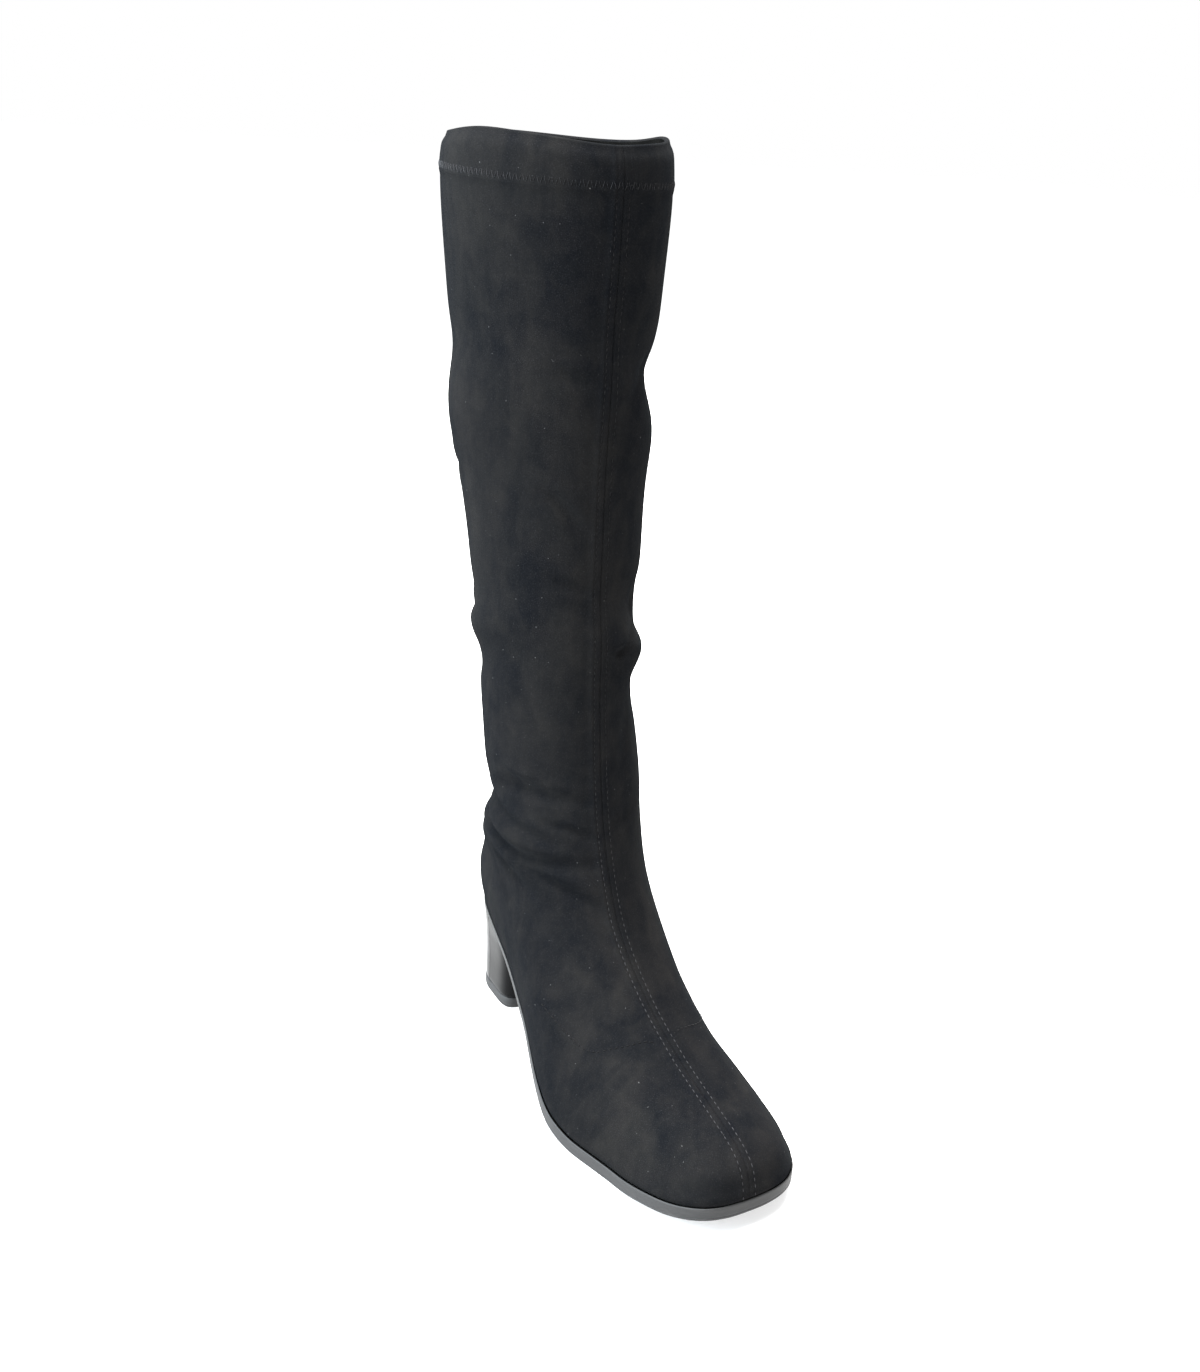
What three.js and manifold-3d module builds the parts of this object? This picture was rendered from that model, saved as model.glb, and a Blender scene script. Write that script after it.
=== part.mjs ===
// A black knee-high stretch boot for the right foot, standing on its sole.
// Millimetres, +Z up, the toe towards -Y, the medial (inner) side towards +X.
import * as THREE from 'three';
import Module from 'manifold-3d';
import { mergeVertices } from 'three/addons/utils/BufferGeometryUtils.js';

const wasm = await Module();
wasm.setup();

// The last: the sizes that the sections below follow
const FOOT_LENGTH = 246;      // sole, from the back of the heel to the toe
const BALL_WIDTH = 90;        // upper across the ball
const INSTEP_HEIGHT = 80;     // rise of the vamp above the sole at the ankle bend
const HEEL_HEIGHT = 54;       // floor to the underside of the seat
const TOE_SPRING = 10;        // lift of the toe above the ball
const TOE_SWING = 10;         // how far the toe turns to the medial side

// The leg
const SHAFT_HEIGHT = 401;     // seat to collar
const TOP_WIDTH = 100;        // collar, side to side
const TOP_DEPTH = 129;        // collar, front to back
const TOP_LEAN = 10;          // how far the collar leans to the lateral side

// Walls and layers
const WALL = 1.8;             // faux suede with its lining
const CROWN = 0.7;            // round of the folded collar edge
const HEM_HEIGHT = 19;
const HEM_STEP = 0.5;         // the hem stands this much proud of the leg
const SEAM_WIDTH = 9;         // raised band of the centre-front seam
const SEAM_STEP = 0.6;
const SEAM_GROOVE = 1.6;      // width of the groove where the two halves meet
const SEAM_SLOPE = 1.2;       // width of the band's sloping edges
const SOLE_THICK = 7;         // outsole edge at the forefoot
const LIP = 2.2;              // outsole beyond the upper at the forefoot
const INSOLE_THICK = 2.4;
const INSOLE_EASE = 0.8;      // room round the insole inside the upper
const GAP = 0.3;              // clearance between neighbouring pieces
const FEATHER_GAP = 0.5;      // the same between upper and outsole, which both curve

// The heel block
const HEEL_WIDTH = 46;
const HEEL_LENGTH = 47;
const TIP_THICK = 6;
const TIP_BEVEL = 0.6;        // bevel round the tip's lower edge

// The zip
const ZIP_LENGTH = 154;
const ZIP_START = 27;         // height of its lower end above the seat
const SLOT_WIDTH = 8;
const TAPE_THICK = 0.7;
const TAPE_SUNK = 0.5;        // tapes lie this far below the suede
const COIL_WIDTH = 3.2;
const COIL_HEIGHT = 1.1;
const STOP_LENGTH = 2.4;
const STOP_PROUD = 0.2;       // the stops stand this much over the coil, and stick out as much at its sides
const SLIDER_LENGTH = 9;
const SLIDER_WIDTH = 6.8;
const SLIDER_THICK = 2.6;
const BRIDGE_LENGTH = 5.2;
const BRIDGE_WIDTH = 2.2;
const BRIDGE_RISE = 3.2;
const BRIDGE_BAR = 1.1;
const BRIDGE_ROOT = 0.4;      // the bridge is let this far into the slider
const BRIDGE_CHAMFER = 0.2;
const PULL_LENGTH = 24;
const PULL_WIDTH = 5.2;
const PULL_THICK = 1.1;

// Rows of a table, each with its columns by name
const table = (names, rows) => rows.map((row) => Object.fromEntries(names.map((name, i) => [name, row[i]])));

// The sole line from heel to toe. at: share of FOOT_LENGTH; lift: share of the seat's rise over the forefoot;
// curl: share of TOE_SPRING; thick: share of SOLE_THICK; lip: share of LIP
const SOLE_LINE = table(['at', 'lift', 'curl', 'thick', 'lip'], [
  [0.00, 1.000, 0.00, 0.36, 0.30],
  [0.12, 0.971, 0.00, 0.36, 0.30],
  [0.25, 0.883, 0.00, 0.44, 0.35],
  [0.40, 0.583, 0.00, 0.58, 0.50],
  [0.52, 0.265, 0.00, 0.82, 0.75],
  [0.62, 0.055, 0.00, 1.00, 1.00],
  [0.69, 0.000, 0.00, 1.00, 1.00],
  [0.80, 0.000, 0.00, 1.00, 1.00],
  [0.90, 0.000, 0.36, 1.00, 1.00],
  [1.00, 0.000, 1.00, 1.00, 1.00],
]);

// The outsole's edge from its upper to its lower corner. drop: share of the thickness; out: share of LIP
const SOLE_EDGE = table(['drop', 'out'], [
  [0.00, -0.25],
  [0.12, 0.00],
  [0.42, 0.00],
  [0.50, -0.20],
  [0.58, 0.00],
  [0.88, 0.00],
  [1.00, -0.30],
]);

// Sections of the foot, from the feather line up to the ankle bend. frontAt, backAt: places of the front and
// back points, as shares of FOOT_LENGTH from the heel; frontUp, backUp: their heights over the sole, as shares
// of INSTEP_HEIGHT; sag: how much the section follows the sole line; toeLat, toeMed, heel: squareness of its ends
const FOOT_SECTIONS = table(['frontAt', 'frontUp', 'backAt', 'backUp', 'sag', 'toeLat', 'toeMed', 'heel'], [
  [0.996, 0.000, 0.004, 0.000, 1.00, 3.1, 2.9, 3.2],
  [1.000, 0.056, -0.004, 0.125, 1.00, 3.1, 2.9, 3.2],
  [0.986, 0.184, -0.008, 0.238, 0.95, 3.0, 2.8, 3.1],
  [0.943, 0.302, -0.008, 0.338, 0.85, 2.9, 2.6, 3.0],
  [0.862, 0.425, -0.004, 0.438, 0.70, 2.7, 2.4, 2.8],
  [0.748, 0.560, 0.004, 0.550, 0.50, 2.4, 2.2, 2.5],
  [0.630, 0.736, 0.018, 0.675, 0.30, 2.2, 2.1, 2.3],
  [0.531, 0.911, 0.037, 0.838, 0.15, 2.1, 2.1, 2.2],
  [0.477, 1.175, 0.061, 1.050, 0.05, 2.0, 2.0, 2.1],
]);

// Half widths of the same sections at six even stations from front to back, as shares of half BALL_WIDTH:
// lat0 to lat5 on the lateral side, med0 to med5 on the medial side
const FOOT_WIDTHS = table([
  'lat0', 'lat1', 'lat2', 'lat3', 'lat4', 'lat5', 'med0', 'med1', 'med2', 'med3', 'med4', 'med5',
], [
  [0.89, 0.88, 0.99, 0.77, 0.67, 0.65, 1.13, 1.11, 0.91, 0.68, 0.62, 0.63],
  [0.90, 0.89, 1.00, 0.81, 0.72, 0.70, 1.10, 1.09, 0.93, 0.74, 0.67, 0.67],
  [0.86, 0.86, 0.96, 0.82, 0.75, 0.72, 1.01, 1.01, 0.92, 0.78, 0.72, 0.70],
  [0.76, 0.79, 0.91, 0.81, 0.76, 0.72, 0.89, 0.90, 0.86, 0.79, 0.74, 0.70],
  [0.65, 0.73, 0.84, 0.80, 0.75, 0.70, 0.76, 0.80, 0.81, 0.79, 0.76, 0.69],
  [0.60, 0.69, 0.79, 0.78, 0.74, 0.68, 0.70, 0.78, 0.81, 0.81, 0.76, 0.68],
  [0.59, 0.69, 0.75, 0.75, 0.74, 0.68, 0.74, 0.83, 0.84, 0.83, 0.78, 0.69],
  [0.62, 0.72, 0.76, 0.77, 0.76, 0.72, 0.77, 0.84, 0.86, 0.84, 0.79, 0.73],
  [0.73, 0.79, 0.81, 0.81, 0.78, 0.75, 0.78, 0.83, 0.85, 0.84, 0.81, 0.78],
]);

// Sections of the leg. frontUp, backUp: heights over the seat, as shares of SHAFT_HEIGHT; front, back: reach
// from the leg's axis, as shares of TOP_DEPTH; width: share of TOP_WIDTH
const LEG_SECTIONS = table(['frontUp', 'backUp', 'front', 'back', 'width'], [
  [0.253, 0.280, 0.495, 0.249, 0.706],
  [0.408, 0.408, 0.458, 0.285, 0.755],
  [0.608, 0.608, 0.442, 0.400, 0.836],
  [0.807, 0.807, 0.475, 0.473, 0.912],
  [0.935, 0.937, 0.500, 0.492, 0.975],
  [0.996, 1.000, 0.496, 0.476, 0.945],
]);
const LEG_AXIS = 0.179;       // share of FOOT_LENGTH from the heel

// Soft folds and bulges of the leg. up: height over the seat, as a share of SHAFT_HEIGHT; turn: degrees round
// the leg from the front through the medial side; wide: half width in degrees; tall: half height, as a share of
// SHAFT_HEIGHT; slope: fall in shares of SHAFT_HEIGHT for each 90 degrees; out: share of TOP_WIDTH
const FOLDS = table(['up', 'turn', 'wide', 'tall', 'slope', 'out'], [
  [0.735, 62, 34, 0.028, 0.10, -0.055],
  [0.672, 66, 40, 0.035, 0.08, 0.018],
  [0.462, 60, 36, 0.024, 0.06, -0.056],
  [0.415, 62, 36, 0.022, 0.04, 0.038],
  [0.365, 66, 34, 0.024, 0.02, -0.032],
  [0.250, 56, 30, 0.045, 0.00, 0.034],
  [0.760, 238, 30, 0.022, -0.05, -0.014],
  [0.680, 238, 40, 0.040, -0.04, 0.032],
  [0.530, 238, 40, 0.040, -0.04, -0.008],
  [0.462, 240, 34, 0.020, -0.05, -0.012],
  [0.420, 240, 34, 0.020, -0.05, 0.026],
  [0.385, 240, 36, 0.020, -0.05, -0.022],
  [0.195, 236, 44, 0.022, -0.06, -0.036],
  [0.130, 232, 50, 0.020, -0.06, 0.018],
  [0.095, 236, 44, 0.016, -0.05, -0.016],
]);

// How many rows of faces lie between one section and the next, from the feather line to the collar
const ROWS_BETWEEN = [1, 1, 1, 2, 2, 2, 2, 3, 3, 4, 5, 5, 3, 2];

const { clamp, lerp, smoothstep, degToRad, euclideanModulo } = THREE.MathUtils;
const spread = (from, to, count) => Array.from({ length: count }, (_, k) => lerp(from, to, k / count));
const seatTop = HEEL_HEIGHT + SOLE_LINE[0].thick * SOLE_THICK;

// Slope of a monotone curve at knot i of a table's column
function knotSlope(rows, column, i) {
  const rise = (k) => (rows[k + 1][column] - rows[k][column]) / (rows[k + 1].at - rows[k].at);
  if (i === 0) return rise(0);
  if (i === rows.length - 1) return rise(i - 1);
  const [before, after] = [rise(i - 1), rise(i)];
  return before * after <= 0 ? 0 : (2 * before * after) / (before + after);
}

// Monotone cubic curve through a table's column
function along(rows, column, at) {
  const place = clamp(at, rows[0].at, rows[rows.length - 1].at);
  const last = rows.length - 2;
  const i = Math.min(last, rows.findIndex((row, k) => k > last || place <= rows[k + 1].at));
  const span = rows[i + 1].at - rows[i].at;
  const f = (place - rows[i].at) / span;
  const start = knotSlope(rows, column, i) * span;
  const end = knotSlope(rows, column, i + 1) * span;
  const [a, b] = [rows[i][column], rows[i + 1][column]];
  return a + f * (start + f * (3 * (b - a) - 2 * start - end + f * (2 * (a - b) + start + end)));
}

const soleAt = (y, column) => along(SOLE_LINE, column, -y / FOOT_LENGTH);
const soleTop = (y) => SOLE_THICK + soleAt(y, 'lift') * (seatTop - SOLE_THICK) + soleAt(y, 'curl') * TOE_SPRING;
const soleUnder = (y) => soleTop(y) - soleAt(y, 'thick') * SOLE_THICK;

// The sections in millimetres, as rows of plain numbers
const STATIONS = 6;
function footSection(row, i) {
  const frontY = -row.frontAt * FOOT_LENGTH;
  const backY = -row.backAt * FOOT_LENGTH;
  const frontZ = soleTop(frontY) + FEATHER_GAP + row.frontUp * INSTEP_HEIGHT;
  const backZ = soleTop(backY) + FEATHER_GAP + row.backUp * INSTEP_HEIGHT;
  const widths = Object.values(FOOT_WIDTHS[i]).map((share) => share * BALL_WIDTH / 2);
  return [frontY, frontZ, backY, backZ, row.sag, row.toeLat, row.toeMed, row.heel, ...widths];
}

function legSection(row) {
  const axis = -LEG_AXIS * FOOT_LENGTH;
  const frontZ = seatTop + row.frontUp * SHAFT_HEIGHT;
  const backZ = seatTop + row.backUp * SHAFT_HEIGHT;
  const widths = new Array(2 * STATIONS).fill(row.width * TOP_WIDTH / 2);
  return [axis - row.front * TOP_DEPTH, frontZ, axis + row.back * TOP_DEPTH, backZ, 0, 2, 2, 2, ...widths];
}

const SECTIONS = [...FOOT_SECTIONS.map(footSection), ...LEG_SECTIONS.map(legSection)];
const COLLAR = SECTIONS.length - 1;

// Catmull-Rom curve through equally spaced values, running on straight past both ends
function curve(values, at) {
  const last = values.length - 1;
  const i = clamp(Math.floor(at), 0, last - 1);
  const f = at - i;
  const [b, c] = [values[i], values[i + 1]];
  const a = i > 0 ? values[i - 1] : 2 * b - c;
  const d = i + 2 <= last ? values[i + 2] : 2 * c - b;
  return b + 0.5 * f * (c - a + f * (2 * a - 5 * b + 4 * c - d + f * (3 * (b - c) + d - a)));
}

// The section at a height v, which counts sections from the feather line
const sectionCache = new Map();
function sectionAt(v) {
  if (!sectionCache.has(v)) sectionCache.set(v, SECTIONS[0].map((_, k) => curve(SECTIONS.map((s) => s[k]), v)));
  return sectionCache.get(v);
}

const signedPower = (value, power) => Math.sign(value) * Math.abs(value) ** power;

// Point of the last at section v and angle a, which runs from the front through the medial side to the back
// and on through the lateral side: half a superellipse on each side, on a plane tilted from front to back
function lastPoint(v, a) {
  const [frontY, frontZ, backY, backZ, sag, toeLat, toeMed, heel, ...widths] = sectionAt(v);
  const medial = euclideanModulo(a, 2 * Math.PI) <= Math.PI;
  const [c, s] = [Math.cos(a), Math.abs(Math.sin(a))];
  const toe = medial ? toeMed : toeLat;
  const power = 2 / (c > 0 ? toe : heel);
  const t = 0.5 - 0.5 * signedPower(c, power);
  const side = medial ? widths.slice(STATIONS) : widths.slice(0, STATIONS);
  const half = curve(side, (STATIONS - 1) * t) * s ** power;
  const y = lerp(frontY, backY, t);
  const follow = soleTop(y) - lerp(soleTop(frontY), soleTop(backY), t);
  const z = lerp(frontZ, backZ, t) + sag * follow;
  const swing = TOE_SWING * smoothstep(-y / FOOT_LENGTH, 0.35, 1);
  const lean = TOP_LEAN * clamp((z - seatTop) / SHAFT_HEIGHT, 0, 1);
  return new THREE.Vector3((medial ? half : -half) + swing - lean, y, z);
}

// Angle where the section's medial half passes y
function angleAtY(v, y) {
  const [frontY, , backY, , , , toeMed, heel] = sectionAt(v);
  const c = 1 - 2 * (frontY - y) / (frontY - backY);
  return Math.acos(clamp(signedPower(c, (c > 0 ? toeMed : heel) / 2), -1, 1));
}

// The zip's line: fore-and-aft place at a height, from the leg's axis down to the arch
const zipBottom = seatTop + ZIP_START;
const zipTop = zipBottom + ZIP_LENGTH;
const zipY = (z) => -FOOT_LENGTH * (LEG_AXIS + 0.02 + 0.055 * clamp((zipTop - z) / ZIP_LENGTH, 0, 1.4));
function zipAngle(v) {
  let angle = Math.PI / 2;
  for (let pass = 0; pass < 6; pass += 1) angle = angleAtY(v, zipY(lastPoint(v, angle).z));
  return angle;
}

// Section whose height, by some measure that rises with it, reaches z
function sectionWhere(heightOf, z) {
  let [low, high] = [1, COLLAR];
  for (let pass = 0; pass < 40; pass += 1) {
    const middle = (low + high) / 2;
    if (heightOf(middle) < z) low = middle; else high = middle;
  }
  return (low + high) / 2;
}
const sectionAtZip = (z) => sectionWhere((v) => lastPoint(v, zipAngle(v)).z, z);
const sectionAtBack = (z) => sectionWhere((v) => sectionAt(v)[3], z);

// How far the folds push the wall out, calm round the zip
function foldOut(v, a, point) {
  const up = (point.z - seatTop) / SHAFT_HEIGHT;
  const degrees = THREE.MathUtils.radToDeg(a);
  const push = FOLDS.reduce((sum, fold) => {
    const round = euclideanModulo(degrees - fold.turn + 180, 360) - 180;
    const rise = (up - fold.up + fold.slope * round / 90) / fold.tall;
    return sum + fold.out * TOP_WIDTH * Math.exp(-0.5 * (rise * rise + (round / fold.wide) ** 2));
  }, 0);
  const besideZip = Math.abs(a - Math.PI / 2) / degToRad(22);
  const calm = point.z < zipTop + 3 * SLOT_WIDTH ? smoothstep(besideZip, 0.6, 1.6) : 1;
  return push * calm;
}

// Level direction straight out of the last
function levelNormal(v, a) {
  const step = 0.01;
  const run = lastPoint(v, a + step).sub(lastPoint(v, a - step));
  return new THREE.Vector3(run.y, -run.x, 0).normalize();
}

// The leg's outer surface: the last with its folds
function wallPoint(v, a) {
  const point = lastPoint(v, a);
  return v < 1 ? point : point.addScaledVector(levelNormal(v, a), foldOut(v, a, point));
}

function wallNormal(v, a) {
  const [dv, da] = [0.02, 0.01];
  const round = wallPoint(v, a + da).sub(wallPoint(v, a - da));
  const rise = wallPoint(Math.min(v + dv, COLLAR), a).sub(wallPoint(Math.max(v - dv, 0), a));
  return round.cross(rise).normalize();
}

// A point a distance out of the wall, or into it; at the feather line it stays on the sole
function offWall(v, a, out) {
  if (v > 0) return wallPoint(v, a).addScaledVector(wallNormal(v, a), out);
  const point = wallPoint(v, a).addScaledVector(levelNormal(v, a), out);
  point.z = soleTop(point.y) + FEATHER_GAP;
  return point;
}

// Angle reached by going some millimetres round the section from an angle
function angleAway(v, from, distance) {
  const [steps, step] = [8, 0.004];
  const forward = distance < 0 ? -step : step;
  let angle = from;
  for (let k = 0; k < steps; k += 1) {
    const speed = lastPoint(v, angle + forward).distanceTo(lastPoint(v, angle)) / step;
    angle += distance / steps / speed;
  }
  return angle;
}

// Angles from one to another, without the last, spaced partly by distance round the section and partly evenly
const EVEN_SHARE = 0.35;
function spacedAngles(v, from, to, count) {
  const samples = spread(from, to, 96).concat(to);
  const points = samples.map((a) => lastPoint(v, a));
  const steps = points.map((point, k) => (k ? point.distanceTo(points[k - 1]) : 0));
  const whole = steps.reduce((sum, step) => sum + step, 0);
  const even = EVEN_SHARE / (samples.length - 1);
  const reached = [];
  steps.forEach((step, k) => reached.push(k ? reached[k - 1] + (1 - EVEN_SHARE) * step / whole + even : 0));
  return spread(0, 1, count).map((share) => {
    const k = Math.max(1, reached.findIndex((value) => value > share));
    return lerp(samples[k - 1], samples[k], (share - reached[k - 1]) / (reached[k] - reached[k - 1]));
  });
}

// A closed mesh from corner points and triangles
function meshOf(points, triangles) {
  const geometry = new THREE.BufferGeometry();
  geometry.setAttribute('position', new THREE.Float32BufferAttribute(points.flatMap((p) => [p.x, p.y, p.z]), 3));
  geometry.setIndex(triangles);
  geometry.computeVertexNormals();
  return geometry;
}

const quad = (a, b, c, d) => [a, b, c, a, c, d];

// A skin of rows and columns closed round, with its lining, its rims and any cells left open
function shell(outer, inner, crown, isOpen) {
  const rows = outer.length;
  const columns = outer[0].length;
  const points = [...outer.flat(), ...inner.flat(), ...crown];
  const onOuter = (i, j) => i * columns + (j % columns);
  const onInner = (i, j) => rows * columns + onOuter(i, j);
  const onCrown = (j) => 2 * rows * columns + (j % columns);
  const triangles = [];
  for (let j = 0; j < columns; j += 1) {
    const next = j + 1;
    const top = rows - 1;
    triangles.push(...quad(onOuter(top, j), onOuter(top, next), onCrown(next), onCrown(j)));
    triangles.push(...quad(onCrown(j), onCrown(next), onInner(top, next), onInner(top, j)));
    triangles.push(...quad(onOuter(0, next), onOuter(0, j), onInner(0, j), onInner(0, next)));
    for (let i = 0; i < top; i += 1) {
      if (isOpen(i, j)) {
        const side = (a, b) => triangles.push(...quad(onOuter(...a), onOuter(...b), onInner(...b), onInner(...a)));
        if (!isOpen(i, j - 1)) side([i + 1, j], [i, j]);
        if (!isOpen(i, j + 1)) side([i, next], [i + 1, next]);
        if (!isOpen(i - 1, j)) side([i, j], [i, next]);
        if (!isOpen(i + 1, j)) side([i + 1, next], [i + 1, j]);
      } else {
        triangles.push(...quad(onOuter(i, j), onOuter(i, next), onOuter(i + 1, next), onOuter(i + 1, j)));
        triangles.push(...quad(onInner(i, j), onInner(i + 1, j), onInner(i + 1, next), onInner(i, next)));
      }
    }
  }
  return meshOf(points, triangles);
}

// A solid from loops stacked upwards. Each loop runs front, medial, back, lateral, so points across from each
// other pair up, and the two end faces are ladders of rungs between them
function stackSolid(loops) {
  const count = loops[0].length;
  const top = (loops.length - 1) * count;
  const triangles = [];
  for (let k = 0; k < count; k += 1) {
    const next = (k + 1) % count;
    for (let base = 0; base < top; base += count) {
      triangles.push(...quad(base + k, base + next, base + count + next, base + count + k));
    }
  }
  for (let k = 0; k < count / 2; k += 1) {
    const rung = [k, k + 1, count - k - 1, (count - k) % count];
    const corners = rung.filter((corner, i) => rung.indexOf(corner) === i);
    const faces = corners.length === 4 ? quad(...corners) : corners;
    triangles.push(...faces.map((corner) => top + corner), ...faces.reverse());
  }
  return meshOf(loops.flat(), triangles);
}

// The upper: columns of faces follow the front seam and the zip slot, rows follow the sections and the hem
const CELLS = { toZip: 17, toBack: 8, lateral: 23 };
const ROW_SPACE = 0.12;       // least distance between two rows, in sections

function upperColumns(v) {
  const seam = SEAM_WIDTH / 2;
  const zip = zipAngle(v);
  const [groove, band, foot] = [SEAM_GROOVE / 2, seam, seam + SEAM_SLOPE].map((reach) => angleAway(v, 0, reach));
  const slot = [-SLOT_WIDTH / 2, 0, SLOT_WIDTH / 2].map((reach) => angleAway(v, zip, reach));
  const [footLat, bandLat, grooveLat] = [seam + SEAM_SLOPE, seam, SEAM_GROOVE / 2]
    .map((reach) => 2 * Math.PI + angleAway(v, 0, -reach));
  return [
    0, groove, band,
    ...spacedAngles(v, foot, slot[0], CELLS.toZip),
    slot[0], slot[1],
    ...spacedAngles(v, slot[2], Math.PI, CELLS.toBack),
    ...spacedAngles(v, Math.PI, footLat, CELLS.lateral),
    footLat, bandLat, grooveLat,
  ];
}

// Step of the raised front seam at each column, as a share of SEAM_STEP
const SEAM_RAISE = { first: [0, 1, 1], last: [0, 1, 1] };
const columnCount = upperColumns(1).length;
function seamRaise(j) {
  if (j < SEAM_RAISE.first.length) return SEAM_RAISE.first[j];
  const fromEnd = j - (columnCount - SEAM_RAISE.last.length);
  return fromEnd >= 0 ? SEAM_RAISE.last[fromEnd] : 0;
}

function upper() {
  const between = ROWS_BETWEEN.flatMap((count, i) => spread(i, i + 1, count));
  const slotEnds = [zipBottom, zipTop].map(sectionAtZip);
  const hemFoot = sectionAtBack(sectionAt(COLLAR)[3] - HEM_HEIGHT);
  const hemTop = sectionAtBack(sectionAt(COLLAR)[3] - HEM_HEIGHT + HEM_STEP);
  const marks = [...slotEnds, hemFoot, hemTop, COLLAR];
  const clear = between.filter((v) => marks.every((mark) => Math.abs(v - mark) > ROW_SPACE));
  const levels = [...clear, ...marks].sort((a, b) => a - b);
  const hemRaise = (v) => (v >= hemTop ? HEM_STEP : 0);
  const seamFade = (v) => smoothstep(v, 0, 1);
  const outer = levels.map((v) => upperColumns(v).map((a, j) =>
    offWall(v, a, hemRaise(v) + seamRaise(j) * SEAM_STEP * seamFade(v))));
  const inner = levels.map((v) => upperColumns(v).map((a) => offWall(v, a, -WALL)));
  const top = levels.length - 1;
  const crown = outer[top].map((point, j) => {
    const middle = point.clone().lerp(inner[top][j], 0.5);
    middle.z += CROWN;
    return middle;
  });
  const slotRows = slotEnds.map((end) => levels.indexOf(end));
  const slotColumn = 3 + CELLS.toZip;
  const isOpen = (i, j) => i >= slotRows[0] && i < slotRows[1] && (j === slotColumn || j === slotColumn + 1);
  return shell(outer, inner, crown, isOpen);
}

const SOLE_POINTS = 84;

// Angles round the feather line whose points pair up straight across the foot
function featherAngles(count) {
  const [, , , , , toeLat, toeMed, heelPower] = sectionAt(0);
  const medial = spacedAngles(0, 0, Math.PI, count / 2);
  const across = medial.slice(1).map((a) => {
    const c = Math.cos(a);
    const place = signedPower(c, 2 / (c > 0 ? toeMed : heelPower));
    return 2 * Math.PI - Math.acos(signedPower(place, (c > 0 ? toeLat : heelPower) / 2));
  });
  return [...medial, Math.PI, ...across.reverse()];
}

// Loop of the feather line moved out by a distance that may change from place to place
function featherLoop(count, out) {
  return featherAngles(count).map((a) => {
    const point = lastPoint(0, a);
    return point.addScaledVector(levelNormal(0, a), out(point.y));
  });
}

function outsole() {
  const reach = (y, out) => LIP * (soleAt(y, 'lip') + out * soleAt(y, 'thick'));
  const loops = SOLE_EDGE.map(({ drop, out }) => {
    const loop = featherLoop(SOLE_POINTS, (y) => reach(y, out));
    return loop.map((point) => point.setZ(lerp(soleTop(point.y), soleUnder(point.y), drop)));
  });
  return stackSolid(loops.reverse());
}

function insole() {
  const heights = [GAP, GAP + INSOLE_THICK];
  return stackSolid(heights.map((height) => {
    const loop = featherLoop(SOLE_POINTS, () => -WALL - INSOLE_EASE);
    return loop.map((point) => point.setZ(soleTop(point.y) + height));
  }));
}

// The heel block's sections. up: share of its height; wide, long: shares of HEEL_WIDTH and HEEL_LENGTH;
// breast: how far its front face stands back, as a share of HEEL_LENGTH
const HEEL_SECTIONS = table(['up', 'wide', 'long', 'breast'], [
  [0.00, 0.92, 0.97, 0.00],
  [0.30, 0.92, 0.96, 0.01],
  [0.65, 0.95, 0.97, 0.01],
  [0.90, 1.00, 1.00, 0.00],
  [1.00, 1.01, 1.01, 0.00],
]);
const HEEL_BACK = 0.008;      // back of the heel, as a share of FOOT_LENGTH from the seat's back

// D-shaped loop of a heel section: square at the breast, round at the back
function heelLoop(wide, long, breast, inset) {
  const [breastPower, backPower] = [2 / 6, 2 / 2.1];
  const halfLength = HEEL_LENGTH * long / 2 - inset;
  const halfWidth = HEEL_WIDTH * wide / 2 - inset;
  const middle = -FOOT_LENGTH * HEEL_BACK - HEEL_LENGTH / 2 + HEEL_LENGTH * breast / 2;
  return spread(0, 2 * Math.PI, 40).map((a) => {
    const power = Math.cos(a) > 0 ? breastPower : backPower;
    const x = halfWidth * signedPower(Math.sin(a), power);
    return new THREE.Vector3(x, middle - halfLength * signedPower(Math.cos(a), power), 0);
  });
}

function heel() {
  return stackSolid(HEEL_SECTIONS.map(({ up, wide, long, breast }) => {
    const loop = heelLoop(wide, long, breast, 0);
    return loop.map((point) => point.setZ(lerp(TIP_THICK + GAP, soleUnder(point.y) - GAP, up)));
  }));
}

function heelTip() {
  const foot = HEEL_SECTIONS[0];
  const levels = [[0, TIP_BEVEL], [TIP_BEVEL, 0], [TIP_THICK, 0]];
  return stackSolid(levels.map(([z, inset]) => heelLoop(foot.wide, foot.long, foot.breast, inset)
    .map((point) => point.setZ(z))));
}

// A bar along the zip between two heights, with its cross-section as [across, out] points, lateral to the line
function zipBar(from, to, steps, profile) {
  const levels = [...spread(from, to, steps), to];
  const rings = levels.map((z) => {
    const v = sectionAtZip(z);
    const centre = zipAngle(v);
    return profile.map(([across, out]) => offWall(v, angleAway(v, centre, across), out));
  });
  const count = profile.length;
  const triangles = [];
  rings.slice(1).forEach((_, i) => {
    for (let k = 0; k < count; k += 1) {
      const next = (k + 1) % count;
      triangles.push(...quad(i * count + next, i * count + k, (i + 1) * count + k, (i + 1) * count + next));
    }
  });
  for (let k = 1; k < count - 1; k += 1) {
    const end = steps * count;
    triangles.push(0, k, k + 1, end, end + k + 1, end + k);
  }
  return meshOf(rings.flat(), triangles);
}

const tapeFace = -TAPE_SUNK;
function tape(side) {
  const [inside, outside] = [GAP / 2, SLOT_WIDTH / 2 - GAP];
  const [low, high] = side < 0 ? [-outside, -inside] : [inside, outside];
  const back = tapeFace - TAPE_THICK;
  const profile = [[low, back], [high, back], [high, tapeFace], [low, tapeFace]];
  return zipBar(zipBottom + GAP, zipTop - GAP, 20, profile);
}

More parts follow.
